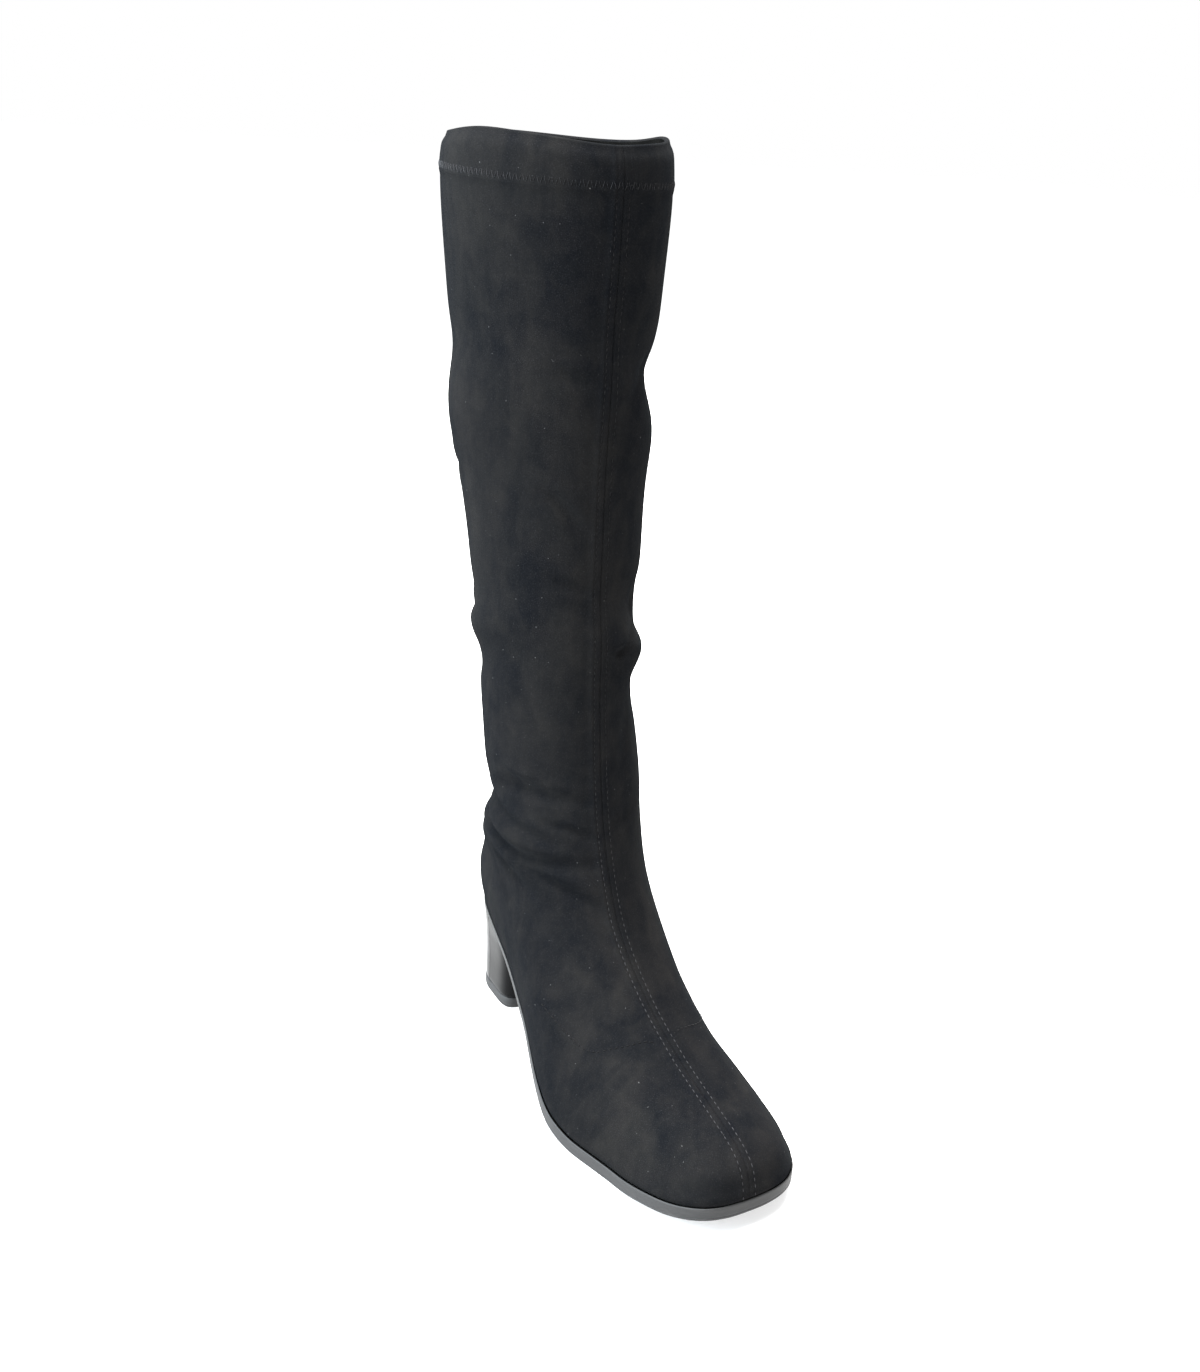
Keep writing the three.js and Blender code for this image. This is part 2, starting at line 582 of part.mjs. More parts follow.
const sliderLow = zipTop - 2 * GAP - STOP_LENGTH - SLIDER_LENGTH;
const coilFoot = tapeFace + GAP;
function coil() {
  const half = COIL_WIDTH / 2;
  const [flank, crest] = [coilFoot + COIL_HEIGHT * 0.55, coilFoot + COIL_HEIGHT];
  const ridge = half * 0.45;
  const profile = [[-half, coilFoot], [half, coilFoot], [half, flank], [ridge, crest], [-ridge, crest], [-half, flank]];
  return zipBar(zipBottom + 2 * GAP + STOP_LENGTH, sliderLow - GAP, 20, profile);
}

function stop(from) {
  const half = COIL_WIDTH / 2 + STOP_PROUD;
  const top = coilFoot + COIL_HEIGHT + STOP_PROUD;
  const profile = [[-half, coilFoot], [half, coilFoot], [half, top], [-half, top]];
  return zipBar(from, from + STOP_LENGTH, 1, profile);
}

// A closed geometry as a solid for joining and cutting, and back
function solid(geometry) {
  geometry.deleteAttribute('normal');
  geometry.deleteAttribute('uv');
  const merged = mergeVertices(geometry);
  const { array } = merged.attributes.position;
  return new wasm.Manifold(new wasm.Mesh({
    numProp: 3, vertProperties: new Float32Array(array), triVerts: new Uint32Array(merged.index.array),
  }));
}

function geometryOf(manifold) {
  const { vertProperties, triVerts } = manifold.getMesh();
  const geometry = new THREE.BufferGeometry();
  geometry.setAttribute('position', new THREE.BufferAttribute(new Float32Array(vertProperties), 3));
  geometry.setIndex([...triVerts]);
  geometry.computeVertexNormals();
  return geometry;
}

const extrude = (shape, depth, curveSegments) => new THREE.ExtrudeGeometry(shape, {
  depth, curveSegments, bevelEnabled: false,
});

// Outline of a rounded bar between two x values, standing on y = 0
function roundedShape(width, low, high, corner) {
  const half = width / 2;
  return new THREE.Shape()
    .moveTo(-half + corner, low)
    .lineTo(half - corner, low)
    .absarc(half - corner, low + corner, corner, -Math.PI / 2, 0)
    .absarc(half - corner, high - corner, corner, 0, Math.PI / 2)
    .absarc(-half + corner, high - corner, corner, Math.PI / 2, Math.PI)
    .absarc(-half + corner, low + corner, corner, Math.PI, 1.5 * Math.PI);
}

// The slider in its own axes: x across the zip, y up it, z out of it. A plate with a bridge on top
const bridgeOpening = BRIDGE_RISE - BRIDGE_BAR;
function slider() {
  const plate = extrude(roundedShape(SLIDER_WIDTH, 0, SLIDER_LENGTH, 1.8), SLIDER_THICK, 4);
  const low = (SLIDER_LENGTH - BRIDGE_LENGTH) / 2;
  const side = new THREE.Shape()
    .moveTo(low, -BRIDGE_ROOT)
    .lineTo(low, bridgeOpening - BRIDGE_CHAMFER)
    .lineTo(low + BRIDGE_BAR, BRIDGE_RISE)
    .lineTo(low + BRIDGE_LENGTH - BRIDGE_BAR, BRIDGE_RISE)
    .lineTo(low + BRIDGE_LENGTH, bridgeOpening - BRIDGE_CHAMFER)
    .lineTo(low + BRIDGE_LENGTH, -BRIDGE_ROOT)
    .lineTo(low + BRIDGE_LENGTH - BRIDGE_BAR, -BRIDGE_ROOT)
    .lineTo(low + BRIDGE_LENGTH - BRIDGE_BAR, bridgeOpening)
    .lineTo(low + BRIDGE_BAR, bridgeOpening)
    .lineTo(low + BRIDGE_BAR, -BRIDGE_ROOT);
  const bridge = extrude(side, BRIDGE_WIDTH, 1);
  bridge.translate(0, 0, -BRIDGE_WIDTH / 2);
  bridge.applyMatrix4(new THREE.Matrix4().makeBasis(
    new THREE.Vector3(0, 1, 0), new THREE.Vector3(0, 0, 1), new THREE.Vector3(1, 0, 0)));
  bridge.translate(0, 0, SLIDER_THICK);
  return geometryOf(solid(plate).add(solid(bridge)));
}

// The pull tab in its hinge's axes: a crossbar under the bridge, an eye that clears the bridge all the way
// round, and a long tab with a sunk panel
const hingeSpace = 1.3 * GAP;
const [tabCorner, eyeCorner, panelCorner] = [1.4, 0.4, 0.8];
const hingeUp = (SLIDER_LENGTH - BRIDGE_LENGTH) / 2 + BRIDGE_BAR + hingeSpace + PULL_THICK / 2;
const hingeOut = SLIDER_THICK + hingeSpace + PULL_THICK / 2;
const bridgeReach = Math.hypot((SLIDER_LENGTH + BRIDGE_LENGTH) / 2 - hingeUp, hingeOut - SLIDER_THICK);
const eyeReach = bridgeReach + hingeSpace;
function pull() {
  const outline = roundedShape(PULL_WIDTH, -PULL_LENGTH, PULL_THICK / 2, tabCorner);
  outline.holes.push(roundedShape(BRIDGE_WIDTH + 2 * hingeSpace, -eyeReach, -PULL_THICK / 2, eyeCorner));
  const rim = (PULL_WIDTH - BRIDGE_WIDTH - 2 * hingeSpace) / 2;
  const panel = roundedShape(PULL_WIDTH - 2 * rim, rim - PULL_LENGTH, -eyeReach - 2 * rim, panelCorner);
  const plate = extrude(outline, PULL_THICK, 2).translate(0, 0, -PULL_THICK / 2);
  const sunk = extrude(panel, PULL_THICK, 2).translate(0, 0, PULL_THICK * 0.2);
  return geometryOf(solid(plate).subtract(solid(sunk)));
}

const material = (color, roughness, metalness) => new THREE.MeshStandardMaterial({ color, roughness, metalness });
const suede = material('#1b1b1d', 0.95, 0);
const soleRubber = material('#2b2b2c', 0.6, 0);
const gloss = material('#08080a', 0.12, 0);
const lining = material('#222120', 0.9, 0);
const tapeCloth = material('#0c0c0d', 0.45, 0);
const coilPlastic = material('#3a3b3d', 0.35, 0.2);
const blackMetal = material('#1a1a1c', 0.25, 0.9);

function named(name, geometry, finish) {
  const mesh = new THREE.Mesh(geometry, finish);
  mesh.name = name;
  return mesh;
}

// The slider's place: on the tapes at the zip's upper end, turned about the Y axis to the slope of the leg
const sliderMiddle = sliderLow + SLIDER_LENGTH / 2;
const sliderGroup = new THREE.Group();
const sliderSection = sectionAtZip(sliderMiddle);
const sliderFoot = offWall(sliderSection, zipAngle(sliderSection), coilFoot);
const legNormal = wallNormal(sliderSection, zipAngle(sliderSection)).setY(0).normalize();
const legRise = new THREE.Vector3(-legNormal.z, 0, legNormal.x);
sliderGroup.applyMatrix4(new THREE.Matrix4()
  .makeBasis(legRise.clone().cross(legNormal), legRise, legNormal)
  .setPosition(sliderFoot.addScaledVector(legRise, -SLIDER_LENGTH / 2)));
const pullMesh = named('zip_pull', pull(), blackMetal);
pullMesh.position.set(0, hingeUp, hingeOut);
sliderGroup.add(named('zip_slider', slider(), blackMetal), pullMesh);

const group = new THREE.Group();
group.add(
  named('upper', upper(), suede),
  named('outsole', outsole(), soleRubber),
  named('heel', heel(), gloss),
  named('heel_tip', heelTip(), soleRubber),
  named('insole', insole(), lining),
  named('zip_tape_front', tape(-1), tapeCloth),
  named('zip_tape_back', tape(1), tapeCloth),
  named('zip_coil', coil(), coilPlastic),
  named('zip_top_stop', stop(zipTop - GAP - STOP_LENGTH), blackMetal),
  named('zip_bottom_stop', stop(zipBottom + GAP), blackMetal),
  sliderGroup,
);

// The origin lies on the floor under the middle of the boot
group.updateMatrixWorld(true);
const bounds = new THREE.Box3().setFromObject(group);
const middle = bounds.getCenter(new THREE.Vector3());
group.position.set(-middle.x, -middle.y, -bounds.min.z);

export default group;
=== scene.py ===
# %% [markdown]
# # A knee-high boot for the right foot
# The frame gives the stiff solids of the boot. This lesson dresses them: a faux-suede upper with its
# creases, seams and stitches, a lining, a moulded sole, a glossy heel block and a zip with its coil.
# Every piece stays in the frame's place, so nothing has to be fitted.

# %% Load the frame
import math
import bpy
import bmesh
import numpy as np
from mathutils import Matrix, Vector


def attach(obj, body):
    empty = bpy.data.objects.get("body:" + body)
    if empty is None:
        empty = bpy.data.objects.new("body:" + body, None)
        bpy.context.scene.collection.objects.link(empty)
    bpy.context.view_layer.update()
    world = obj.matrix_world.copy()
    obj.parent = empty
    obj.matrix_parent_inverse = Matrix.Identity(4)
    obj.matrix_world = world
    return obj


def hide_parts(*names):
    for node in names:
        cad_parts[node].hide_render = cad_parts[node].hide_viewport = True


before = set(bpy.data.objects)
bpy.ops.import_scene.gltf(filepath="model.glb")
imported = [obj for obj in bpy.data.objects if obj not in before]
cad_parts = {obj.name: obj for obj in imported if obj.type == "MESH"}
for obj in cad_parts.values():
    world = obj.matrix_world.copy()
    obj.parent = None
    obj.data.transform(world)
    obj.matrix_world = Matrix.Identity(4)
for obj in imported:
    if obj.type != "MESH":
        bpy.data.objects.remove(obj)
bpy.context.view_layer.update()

# %% [markdown]
# A photograph is matched from the camera outwards. The camera stands where the boot was seen from, and
# its roll and lens follow. It stays on the line of sight, and a small shift centres the one boot in the
# picture.

# %% Camera
CAMERA_AT = (-0.30177, -0.54319, 0.47135)
CAMERA_TURN = -31.865
CAMERA_PITCH = 21.564
CAMERA_ROLL = 4.604
VIEW_HEIGHT = 24.0
LENS = 24.98
VIEW_SHIFT = (-0.0585, -0.008)


def view_axes(turn, pitch, roll):
    """Right, up and back of a camera: back leans up by the pitch, and right and up turn about it by
    the roll."""
    turn, pitch, roll = (math.radians(a) for a in (turn, pitch, roll))
    back = Vector((math.sin(turn) * math.cos(pitch), -math.cos(turn) * math.cos(pitch), math.sin(pitch)))
    level = Vector((math.cos(turn), math.sin(turn), 0))
    rise = back.cross(level)
    right = level * math.cos(roll) + rise * math.sin(roll)
    return right, back.cross(right), back


camera_data = bpy.data.cameras.new("camera")
camera_data.sensor_fit = "VERTICAL"
camera_data.sensor_height = VIEW_HEIGHT
camera_data.lens = LENS
camera_data.shift_x, camera_data.shift_y = VIEW_SHIFT
camera_data.clip_end = 50
camera = bpy.data.objects.new("camera", camera_data)
bpy.context.scene.collection.objects.link(camera)
camera_axes = Matrix(view_axes(CAMERA_TURN, CAMERA_PITCH, CAMERA_ROLL)).transposed()
camera.matrix_world = Matrix.Translation(CAMERA_AT) @ camera_axes.to_4x4()
bpy.context.scene.camera = camera
print("camera at", [round(c, 3) for c in camera.location])

# %% [markdown]
# The boot is worked out in millimetres from the back of the heel, as its maker would draw it, with the
# same named sizes as the solids. One shift takes it to the frame's origin, and a division to metres.

# %% Sizes
SHIFT = np.array([1.58637, 113.70297, 0.0])
FOOT_LENGTH = 246
BALL_WIDTH = 90
INSTEP_HEIGHT = 80
HEEL_HEIGHT = 54
TOE_SPRING = 10
TOE_SWING = 10
SHAFT_HEIGHT = 401
TOP_WIDTH = 100
TOP_DEPTH = 129
TOP_LEAN = 10
LEG_AXIS = 0.179
SOLE_THICK = 7
FEATHER_GAP = 0.5
GAP = 0.3
print("foot", FOOT_LENGTH, "mm long, shaft", SHAFT_HEIGHT, "mm high")

# %% [markdown]
# The sole line rises from the tread over the arch to the seat, and curls up at the toe. A few points
# along the foot hold it. Each row gives its place as a share of the foot's length, and then the shares of
# the seat's rise, the toe's curl, the thickness and the lip that the sole has there.

# %% Points of the sole line


def table(names, rows):
    """The rows of a table as one array for each named column."""
    return dict(zip(names.split(), np.array(rows, float).T))


SOLE_LINE = table("at lift curl thick lip", [
    [0.00, 1.000, 0.00, 0.36, 0.30],
    [0.12, 0.971, 0.00, 0.36, 0.30],
    [0.25, 0.883, 0.00, 0.44, 0.35],
    [0.40, 0.583, 0.00, 0.58, 0.50],
    [0.52, 0.265, 0.00, 0.82, 0.75],
    [0.62, 0.055, 0.00, 1.00, 1.00],
    [0.69, 0.000, 0.00, 1.00, 1.00],
    [0.80, 0.000, 0.00, 1.00, 1.00],
    [0.90, 0.000, 0.36, 1.00, 1.00],
    [1.00, 0.000, 1.00, 1.00, 1.00],
])
SEAT_TOP = HEEL_HEIGHT + SOLE_LINE["thick"][0] * SOLE_THICK
print("seat at", SEAT_TOP, "mm, collar at", SEAT_TOP + SHAFT_HEIGHT, "mm")

# %% [markdown]
# A shoemaker draws a line through such points with a spline. A monotone cubic does the same, and it never
# overshoots a flat stretch.

# %% Sole line


def along(rows, column, at):
    """Cubic between neighbouring knots, whose slopes are the harmonic mean of the rises before and after."""
    place, value = rows["at"], rows[column]
    rise = np.diff(value) / np.diff(place)
    both = rise[:-1] * rise[1:]
    middle = np.where(both > 0, 2 * both / np.where(both > 0, rise[:-1] + rise[1:], 1), 0)
    slope = np.concatenate([rise[:1], middle, rise[-1:]])
    at = np.clip(at, place[0], place[-1])
    i = np.clip(np.searchsorted(place, at) - 1, 0, len(place) - 2)
    span = place[i + 1] - place[i]
    f = (at - place[i]) / span
    a, b, start, end = value[i], value[i + 1], slope[i] * span, slope[i + 1] * span
    return a + f * (start + f * (3 * (b - a) - 2 * start - end + f * (2 * (a - b) + start + end)))


def sole_at(y, column):
    """A column of the sole line at a place along the foot."""
    return along(SOLE_LINE, column, -y / FOOT_LENGTH)


def sole_top(y):
    """Tread thickness, plus the lift's share of the seat's rise, plus the curl's share of the toe spring."""
    return SOLE_THICK + sole_at(y, "lift") * (SEAT_TOP - SOLE_THICK) + sole_at(y, "curl") * TOE_SPRING


def sole_under(y):
    """The sole's top less its thickness there."""
    return sole_top(y) - sole_at(y, "thick") * SOLE_THICK


print("sole top from heel to toe:", np.round(sole_top(-FOOT_LENGTH * np.linspace(0, 1, 6)), 1))

# %% [markdown]
# The upper is drawn as sections of the last, from the feather line to the collar, each a superellipse
# with its own half widths on either side. The foot's rows are shares of its length, its instep and its
# ball, and the leg's rows are shares of the shaft's height and of the top's size.

# %% Sections of the last
FOOT_SECTIONS = table("front_at front_up back_at back_up sag toe_lat toe_med heel", [
    [0.996, 0.000, 0.004, 0.000, 1.00, 3.1, 2.9, 3.2],
    [1.000, 0.056, -0.004, 0.125, 1.00, 3.1, 2.9, 3.2],
    [0.986, 0.184, -0.008, 0.238, 0.95, 3.0, 2.8, 3.1],
    [0.943, 0.302, -0.008, 0.338, 0.85, 2.9, 2.6, 3.0],
    [0.862, 0.425, -0.004, 0.438, 0.70, 2.7, 2.4, 2.8],
    [0.748, 0.560, 0.004, 0.550, 0.50, 2.4, 2.2, 2.5],
    [0.630, 0.736, 0.018, 0.675, 0.30, 2.2, 2.1, 2.3],
    [0.531, 0.911, 0.037, 0.838, 0.15, 2.1, 2.1, 2.2],
    [0.477, 1.175, 0.061, 1.050, 0.05, 2.0, 2.0, 2.1],
])
FOOT_WIDTHS = np.array([
    [0.89, 0.88, 0.99, 0.77, 0.67, 0.65, 1.13, 1.11, 0.91, 0.68, 0.62, 0.63],
    [0.90, 0.89, 1.00, 0.81, 0.72, 0.70, 1.10, 1.09, 0.93, 0.74, 0.67, 0.67],
    [0.86, 0.86, 0.96, 0.82, 0.75, 0.72, 1.01, 1.01, 0.92, 0.78, 0.72, 0.70],
    [0.76, 0.79, 0.91, 0.81, 0.76, 0.72, 0.89, 0.90, 0.86, 0.79, 0.74, 0.70],
    [0.65, 0.73, 0.84, 0.80, 0.75, 0.70, 0.76, 0.80, 0.81, 0.79, 0.76, 0.69],
    [0.60, 0.69, 0.79, 0.78, 0.74, 0.68, 0.70, 0.78, 0.81, 0.81, 0.76, 0.68],
    [0.59, 0.69, 0.75, 0.75, 0.74, 0.68, 0.74, 0.83, 0.84, 0.83, 0.78, 0.69],
    [0.62, 0.72, 0.76, 0.77, 0.76, 0.72, 0.77, 0.84, 0.86, 0.84, 0.79, 0.73],
    [0.73, 0.79, 0.81, 0.81, 0.78, 0.75, 0.78, 0.83, 0.85, 0.84, 0.81, 0.78],
])
LEG_SECTIONS = table("front_up back_up front back width", [
    [0.253, 0.280, 0.495, 0.249, 0.706],
    [0.408, 0.408, 0.458, 0.285, 0.755],
    [0.608, 0.608, 0.442, 0.400, 0.836],
    [0.807, 0.807, 0.475, 0.473, 0.912],
    [0.935, 0.937, 0.500, 0.492, 0.975],
    [0.996, 1.000, 0.496, 0.476, 0.945],
])
print("sections:", len(FOOT_WIDTHS), "of the foot,", len(LEG_SECTIONS["width"]), "of the leg")

# %% [markdown]
# Between sections a Catmull-Rom curve carries every number. The whole upper is then one function of a
# section number v and an angle a round it, and numpy works it out for a whole grid at once.

# %% The last
SWING_FROM = 0.35


def section_rows():
    """Each section as front y, front z, back y, back z, sag, toe squareness twice, heel squareness, 12
    widths."""
    foot = FOOT_SECTIONS
    front_y, back_y = -foot["front_at"] * FOOT_LENGTH, -foot["back_at"] * FOOT_LENGTH
    front_z = sole_top(front_y) + FEATHER_GAP + foot["front_up"] * INSTEP_HEIGHT
    back_z = sole_top(back_y) + FEATHER_GAP + foot["back_up"] * INSTEP_HEIGHT
    head = [front_y, front_z, back_y, back_z, foot["sag"], foot["toe_lat"], foot["toe_med"], foot["heel"]]
    foot_rows = np.column_stack([*head, FOOT_WIDTHS * BALL_WIDTH / 2])
    leg = LEG_SECTIONS
    axis = -LEG_AXIS * FOOT_LENGTH
    none, round_end = np.zeros(len(leg["width"])), np.full(len(leg["width"]), 2.0)
    head = [axis - leg["front"] * TOP_DEPTH, SEAT_TOP + leg["front_up"] * SHAFT_HEIGHT,
            axis + leg["back"] * TOP_DEPTH, SEAT_TOP + leg["back_up"] * SHAFT_HEIGHT,
            none, round_end, round_end, round_end]
    widths = np.repeat(leg["width"][:, None] * TOP_WIDTH / 2, 12, axis=1)
    return np.vstack([foot_rows, np.column_stack([*head, widths])])


SECTIONS = section_rows()
COLLAR = len(SECTIONS) - 1


def blend4(a, b, c, d, f):
    """Catmull-Rom: from b to c as f goes from 0 to 1, with a and d giving the slopes at the ends."""
    return b + 0.5 * f * (c - a + f * (2 * a - 5 * b + 4 * c - d + f * (3 * (b - c) + d - a)))


def sections(v):
    """The section's numbers at height v, running on straight past both ends."""
    i = np.clip(np.floor(v).astype(int), 0, COLLAR - 1)
    b, c = SECTIONS[i], SECTIONS[i + 1]
    a = np.where((i > 0)[..., None], SECTIONS[np.maximum(i - 1, 0)], 2 * b - c)
    d = np.where((i + 2 <= COLLAR)[..., None], SECTIONS[np.minimum(i + 2, COLLAR)], 2 * c - b)
    return blend4(a, b, c, d, (v - i)[..., None])


def pick(values, i):
    """One value from each row."""
    return np.take_along_axis(values, i[..., None], -1)[..., 0]


def half_width(widths, at):
    """Catmull-Rom through six stations across the last axis."""
    last = widths.shape[-1] - 1
    i = np.clip(np.floor(at).astype(int), 0, last - 1)
    b, c = pick(widths, i), pick(widths, i + 1)
    a = np.where(i > 0, pick(widths, np.maximum(i - 1, 0)), 2 * b - c)
    d = np.where(i + 2 <= last, pick(widths, np.minimum(i + 2, last)), 2 * c - b)
    return blend4(a, b, c, d, at - i)


def signed_power(value, power):
    """The power of the size, with the value's sign."""
    return np.sign(value) * np.abs(value) ** power


def smooth(value, low, high):
    """0 below low, 1 above high, and 3t^2 - 2t^3 between."""
    t = np.clip((value - low) / (high - low), 0, 1)
    return t * t * (3 - 2 * t)


def last_point(v, a):
    """Half superellipses on a plane tilted from front to back: t runs front to back as 0.5 - 0.5 cos^p
    a, the half width at t shrinks as sin^p a, and the sag lets the plane follow the sole line."""
    v, a = np.broadcast_arrays(np.asarray(v, float), np.asarray(a, float))
    s = sections(v)
    front_y, front_z, back_y, back_z, sag, toe_lat, toe_med, heel = np.moveaxis(s[..., :8], -1, 0)
    medial = np.mod(a, 2 * np.pi) <= np.pi
    c = np.cos(a)
    power = 2 / np.where(c > 0, np.where(medial, toe_med, toe_lat), heel)
    t = 0.5 - 0.5 * signed_power(c, power)
    widths = np.where(medial[..., None], s[..., 14:], s[..., 8:14])
    half = half_width(widths, 5 * t) * np.abs(np.sin(a)) ** power
    y = front_y + (back_y - front_y) * t
    follow = sole_top(y) - (sole_top(front_y) * (1 - t) + sole_top(back_y) * t)
    z = front_z + (back_z - front_z) * t + sag * follow
    x = np.where(medial, half, -half) + TOE_SWING * smooth(-y / FOOT_LENGTH, SWING_FROM, 1)
    return np.stack([x - TOP_LEAN * np.clip((z - SEAT_TOP) / SHAFT_HEIGHT, 0, 1), y, z], -1)


def unit(vectors):
    """Each vector over its length."""
    return vectors / np.maximum(np.linalg.norm(vectors, axis=-1, keepdims=True), 1e-12)


def level_normal(v, a, step=0.01):
    """The run round the section turned a quarter outwards, kept level."""
    run = last_point(v, a + step) - last_point(v, a - step)
    return unit(np.stack([run[..., 1], -run[..., 0], np.zeros_like(run[..., 0])], -1))


print("collar", np.round(last_point([COLLAR] * 4, np.arange(4) * np.pi / 2), 1).tolist())

# %% [markdown]
# The zip runs down the inner side. Its line is a place along the foot for each height, and the angle at
# which a section passes it is found by going round a few times.

# %% The zip's line
ZIP_START = 27
ZIP_LENGTH = 154
ZIP_AHEAD = 0.02
ZIP_FALL = 0.055
ZIP_RUN_ON = 1.4
SLOT_WIDTH = 8
ZIP_BOTTOM = SEAT_TOP + ZIP_START
ZIP_TOP = ZIP_BOTTOM + ZIP_LENGTH


def zip_y(z):
    """A straight line that starts just ahead of the leg's axis and falls forwards towards the arch."""
    down = np.clip((ZIP_TOP - z) / ZIP_LENGTH, 0, ZIP_RUN_ON)
    return -FOOT_LENGTH * (LEG_AXIS + ZIP_AHEAD + ZIP_FALL * down)


def zip_angle(v):
    """The angle whose cosine power gives the zip's y, at the height that angle has."""
    s = sections(v)
    front_y, back_y, toe, heel = s[..., 0], s[..., 2], s[..., 6], s[..., 7]
    angle = np.full(np.shape(v), np.pi / 2)
    for _ in range(6):
        c = 1 - 2 * (front_y - zip_y(last_point(v, angle)[..., 2])) / (front_y - back_y)
        angle = np.arccos(np.clip(signed_power(c, np.where(c > 0, toe, heel) / 2), -1, 1))
    return angle


def section_where(height_of, z):
    """Halves the stretch of sections until its middle has the height."""
    low, high = np.ones(np.shape(z)), np.full(np.shape(z), float(COLLAR))
    for _ in range(40):
        middle = (low + high) / 2
        under = height_of(middle) < z
        low, high = np.where(under, middle, low), np.where(under, high, middle)
    return (low + high) / 2


def section_at_zip(z):
    """The section at which the zip's line reaches a height."""
    return section_where(lambda v: last_point(v, zip_angle(v))[..., 2], np.asarray(z, float))


def section_at_back(z):
    """The section whose back point has a height."""
    return section_where(lambda v: sections(v)[..., 3], np.asarray(z, float))


SLOT_ENDS = section_at_zip([ZIP_BOTTOM, ZIP_TOP])
print("zip slot from section", np.round(SLOT_ENDS, 2))

# %% [markdown]
# Soft suede over a leg never lies even. Broad folds are rounded hills and hollows round the leg, the same
# ones that the solid has. They fade out beside the zip, whose tapes hold the leg flat.

# %% Folds and the wall
FOLDS = np.array([
    # height; turn and half width in degrees; half height, slope, push outwards
    [0.735, 62, 34, 0.028, 0.10, -0.055],
    [0.672, 66, 40, 0.035, 0.08, 0.018],
    [0.462, 60, 36, 0.024, 0.06, -0.056],
    [0.415, 62, 36, 0.022, 0.04, 0.038],
    [0.365, 66, 34, 0.024, 0.02, -0.032],
    [0.250, 56, 30, 0.045, 0.00, 0.034],
    [0.760, 238, 30, 0.022, -0.05, -0.014],
    [0.680, 238, 40, 0.040, -0.04, 0.032],
    [0.530, 238, 40, 0.040, -0.04, -0.008],
    [0.462, 240, 34, 0.020, -0.05, -0.012],
    [0.420, 240, 34, 0.020, -0.05, 0.026],
    [0.385, 240, 36, 0.020, -0.05, -0.022],
    [0.195, 236, 44, 0.022, -0.06, -0.036],
    [0.130, 232, 50, 0.020, -0.06, 0.018],
    [0.095, 236, 44, 0.016, -0.05, -0.016],
])
CALM_TURN = 22
CALM_FADE = (0.6, 1.6)
CALM_ABOVE = 3 * SLOT_WIDTH
NEAR_ANGLE = 0.01
NEAR_SECTION = 0.02


def fold_out(v, a, point):
    """Sum of bell curves in height and turn, each tilted by its slope, times a calm beside the zip."""
    up = (point[..., 2] - SEAT_TOP) / SHAFT_HEIGHT
    push = np.zeros_like(up)
    for at, turn, wide, tall, slope, out in FOLDS:
        away = np.mod(np.degrees(a) - turn + 180, 360) - 180
        rise = (up - at + slope * away / 90) / tall
        push += out * TOP_WIDTH * np.exp(-0.5 * (rise ** 2 + (away / wide) ** 2))
    beside = np.abs(a - np.pi / 2) / math.radians(CALM_TURN)
    return push * np.where(point[..., 2] < ZIP_TOP + CALM_ABOVE, smooth(beside, *CALM_FADE), 1)


def wall_point(v, a):
    """The last with its folds."""
    v, a = np.broadcast_arrays(np.asarray(v, float), np.asarray(a, float))
    point = last_point(v, a)
    push = np.where(v < 1, 0, fold_out(v, a, point))
    return point + level_normal(v, a) * push[..., None]


def wall_normal(v, a):
    """The run round the wall crossed with the rise up it."""
    v, a = np.broadcast_arrays(np.asarray(v, float), np.asarray(a, float))
    run = wall_point(v, a + NEAR_ANGLE) - wall_point(v, a - NEAR_ANGLE)
    above, below = np.minimum(v + NEAR_SECTION, COLLAR), np.maximum(v - NEAR_SECTION, 0)
    rise = wall_point(above, a) - wall_point(below, a)
    return unit(np.cross(run, rise))


def off_wall(v, a, out):
    """The wall moved along its normal."""
    return wall_point(v, a) + wall_normal(v, a) * np.asarray(out, float)[..., None]


def angle_away(v, start, distance, near=0.004, steps=8):
    """The angle reached by going some millimetres round the section, in eight steps."""
    distance = np.asarray(distance, float)
    forward = np.where(distance < 0, -near, near)
    angle = np.broadcast_to(start, np.broadcast_shapes(np.shape(v), np.shape(start), distance.shape)).copy()
    for _ in range(steps):
        speed = np.linalg.norm(last_point(v, angle + forward) - last_point(v, angle), axis=-1) / near
        angle = angle + distance / steps / speed
    return angle


print("wall in front at mid leg", np.round(wall_point(12.0, 0.0), 1))

# %% [markdown]
# A mesh piece is an array of points and an array of faces. Each is shifted to the frame and turned to
# metres in one line, and `foreach_set` writes shading flags in one call.

# %% Mesh helpers


def add_piece(name, points, faces, material, slot):
    """Makes an object from points in millimetres and faces and rides it on the boot; its slot is not used.
    """
    mesh = bpy.data.meshes.new(name)
    mesh.from_pydata((np.asarray(points).reshape(-1, 3) + SHIFT) / 1000, [], faces)
    mesh.polygons.foreach_set("use_smooth", np.ones(len(mesh.polygons), bool))
    mesh.materials.append(material)
    mesh.update()
    piece = bpy.data.objects.new(name, mesh)
    bpy.context.scene.collection.objects.link(piece)
    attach(piece, "boot")
    print(name, len(mesh.vertices), "points", sum(len(p.vertices) - 2 for p in mesh.polygons), "triangles")
    return piece


def grid_faces(rows, columns, closed=True):
    """Quads between neighbouring rows and columns of a grid, joined round if it is closed."""
    i, j = np.meshgrid(np.arange(rows - 1), np.arange(columns if closed else columns - 1), indexing="ij")
    here, above, following = i * columns, (i + 1) * columns, (j + 1) % columns
    corners = [here + j, here + following, above + following, above + j]
    return np.stack(corners, -1).reshape(-1, 4)


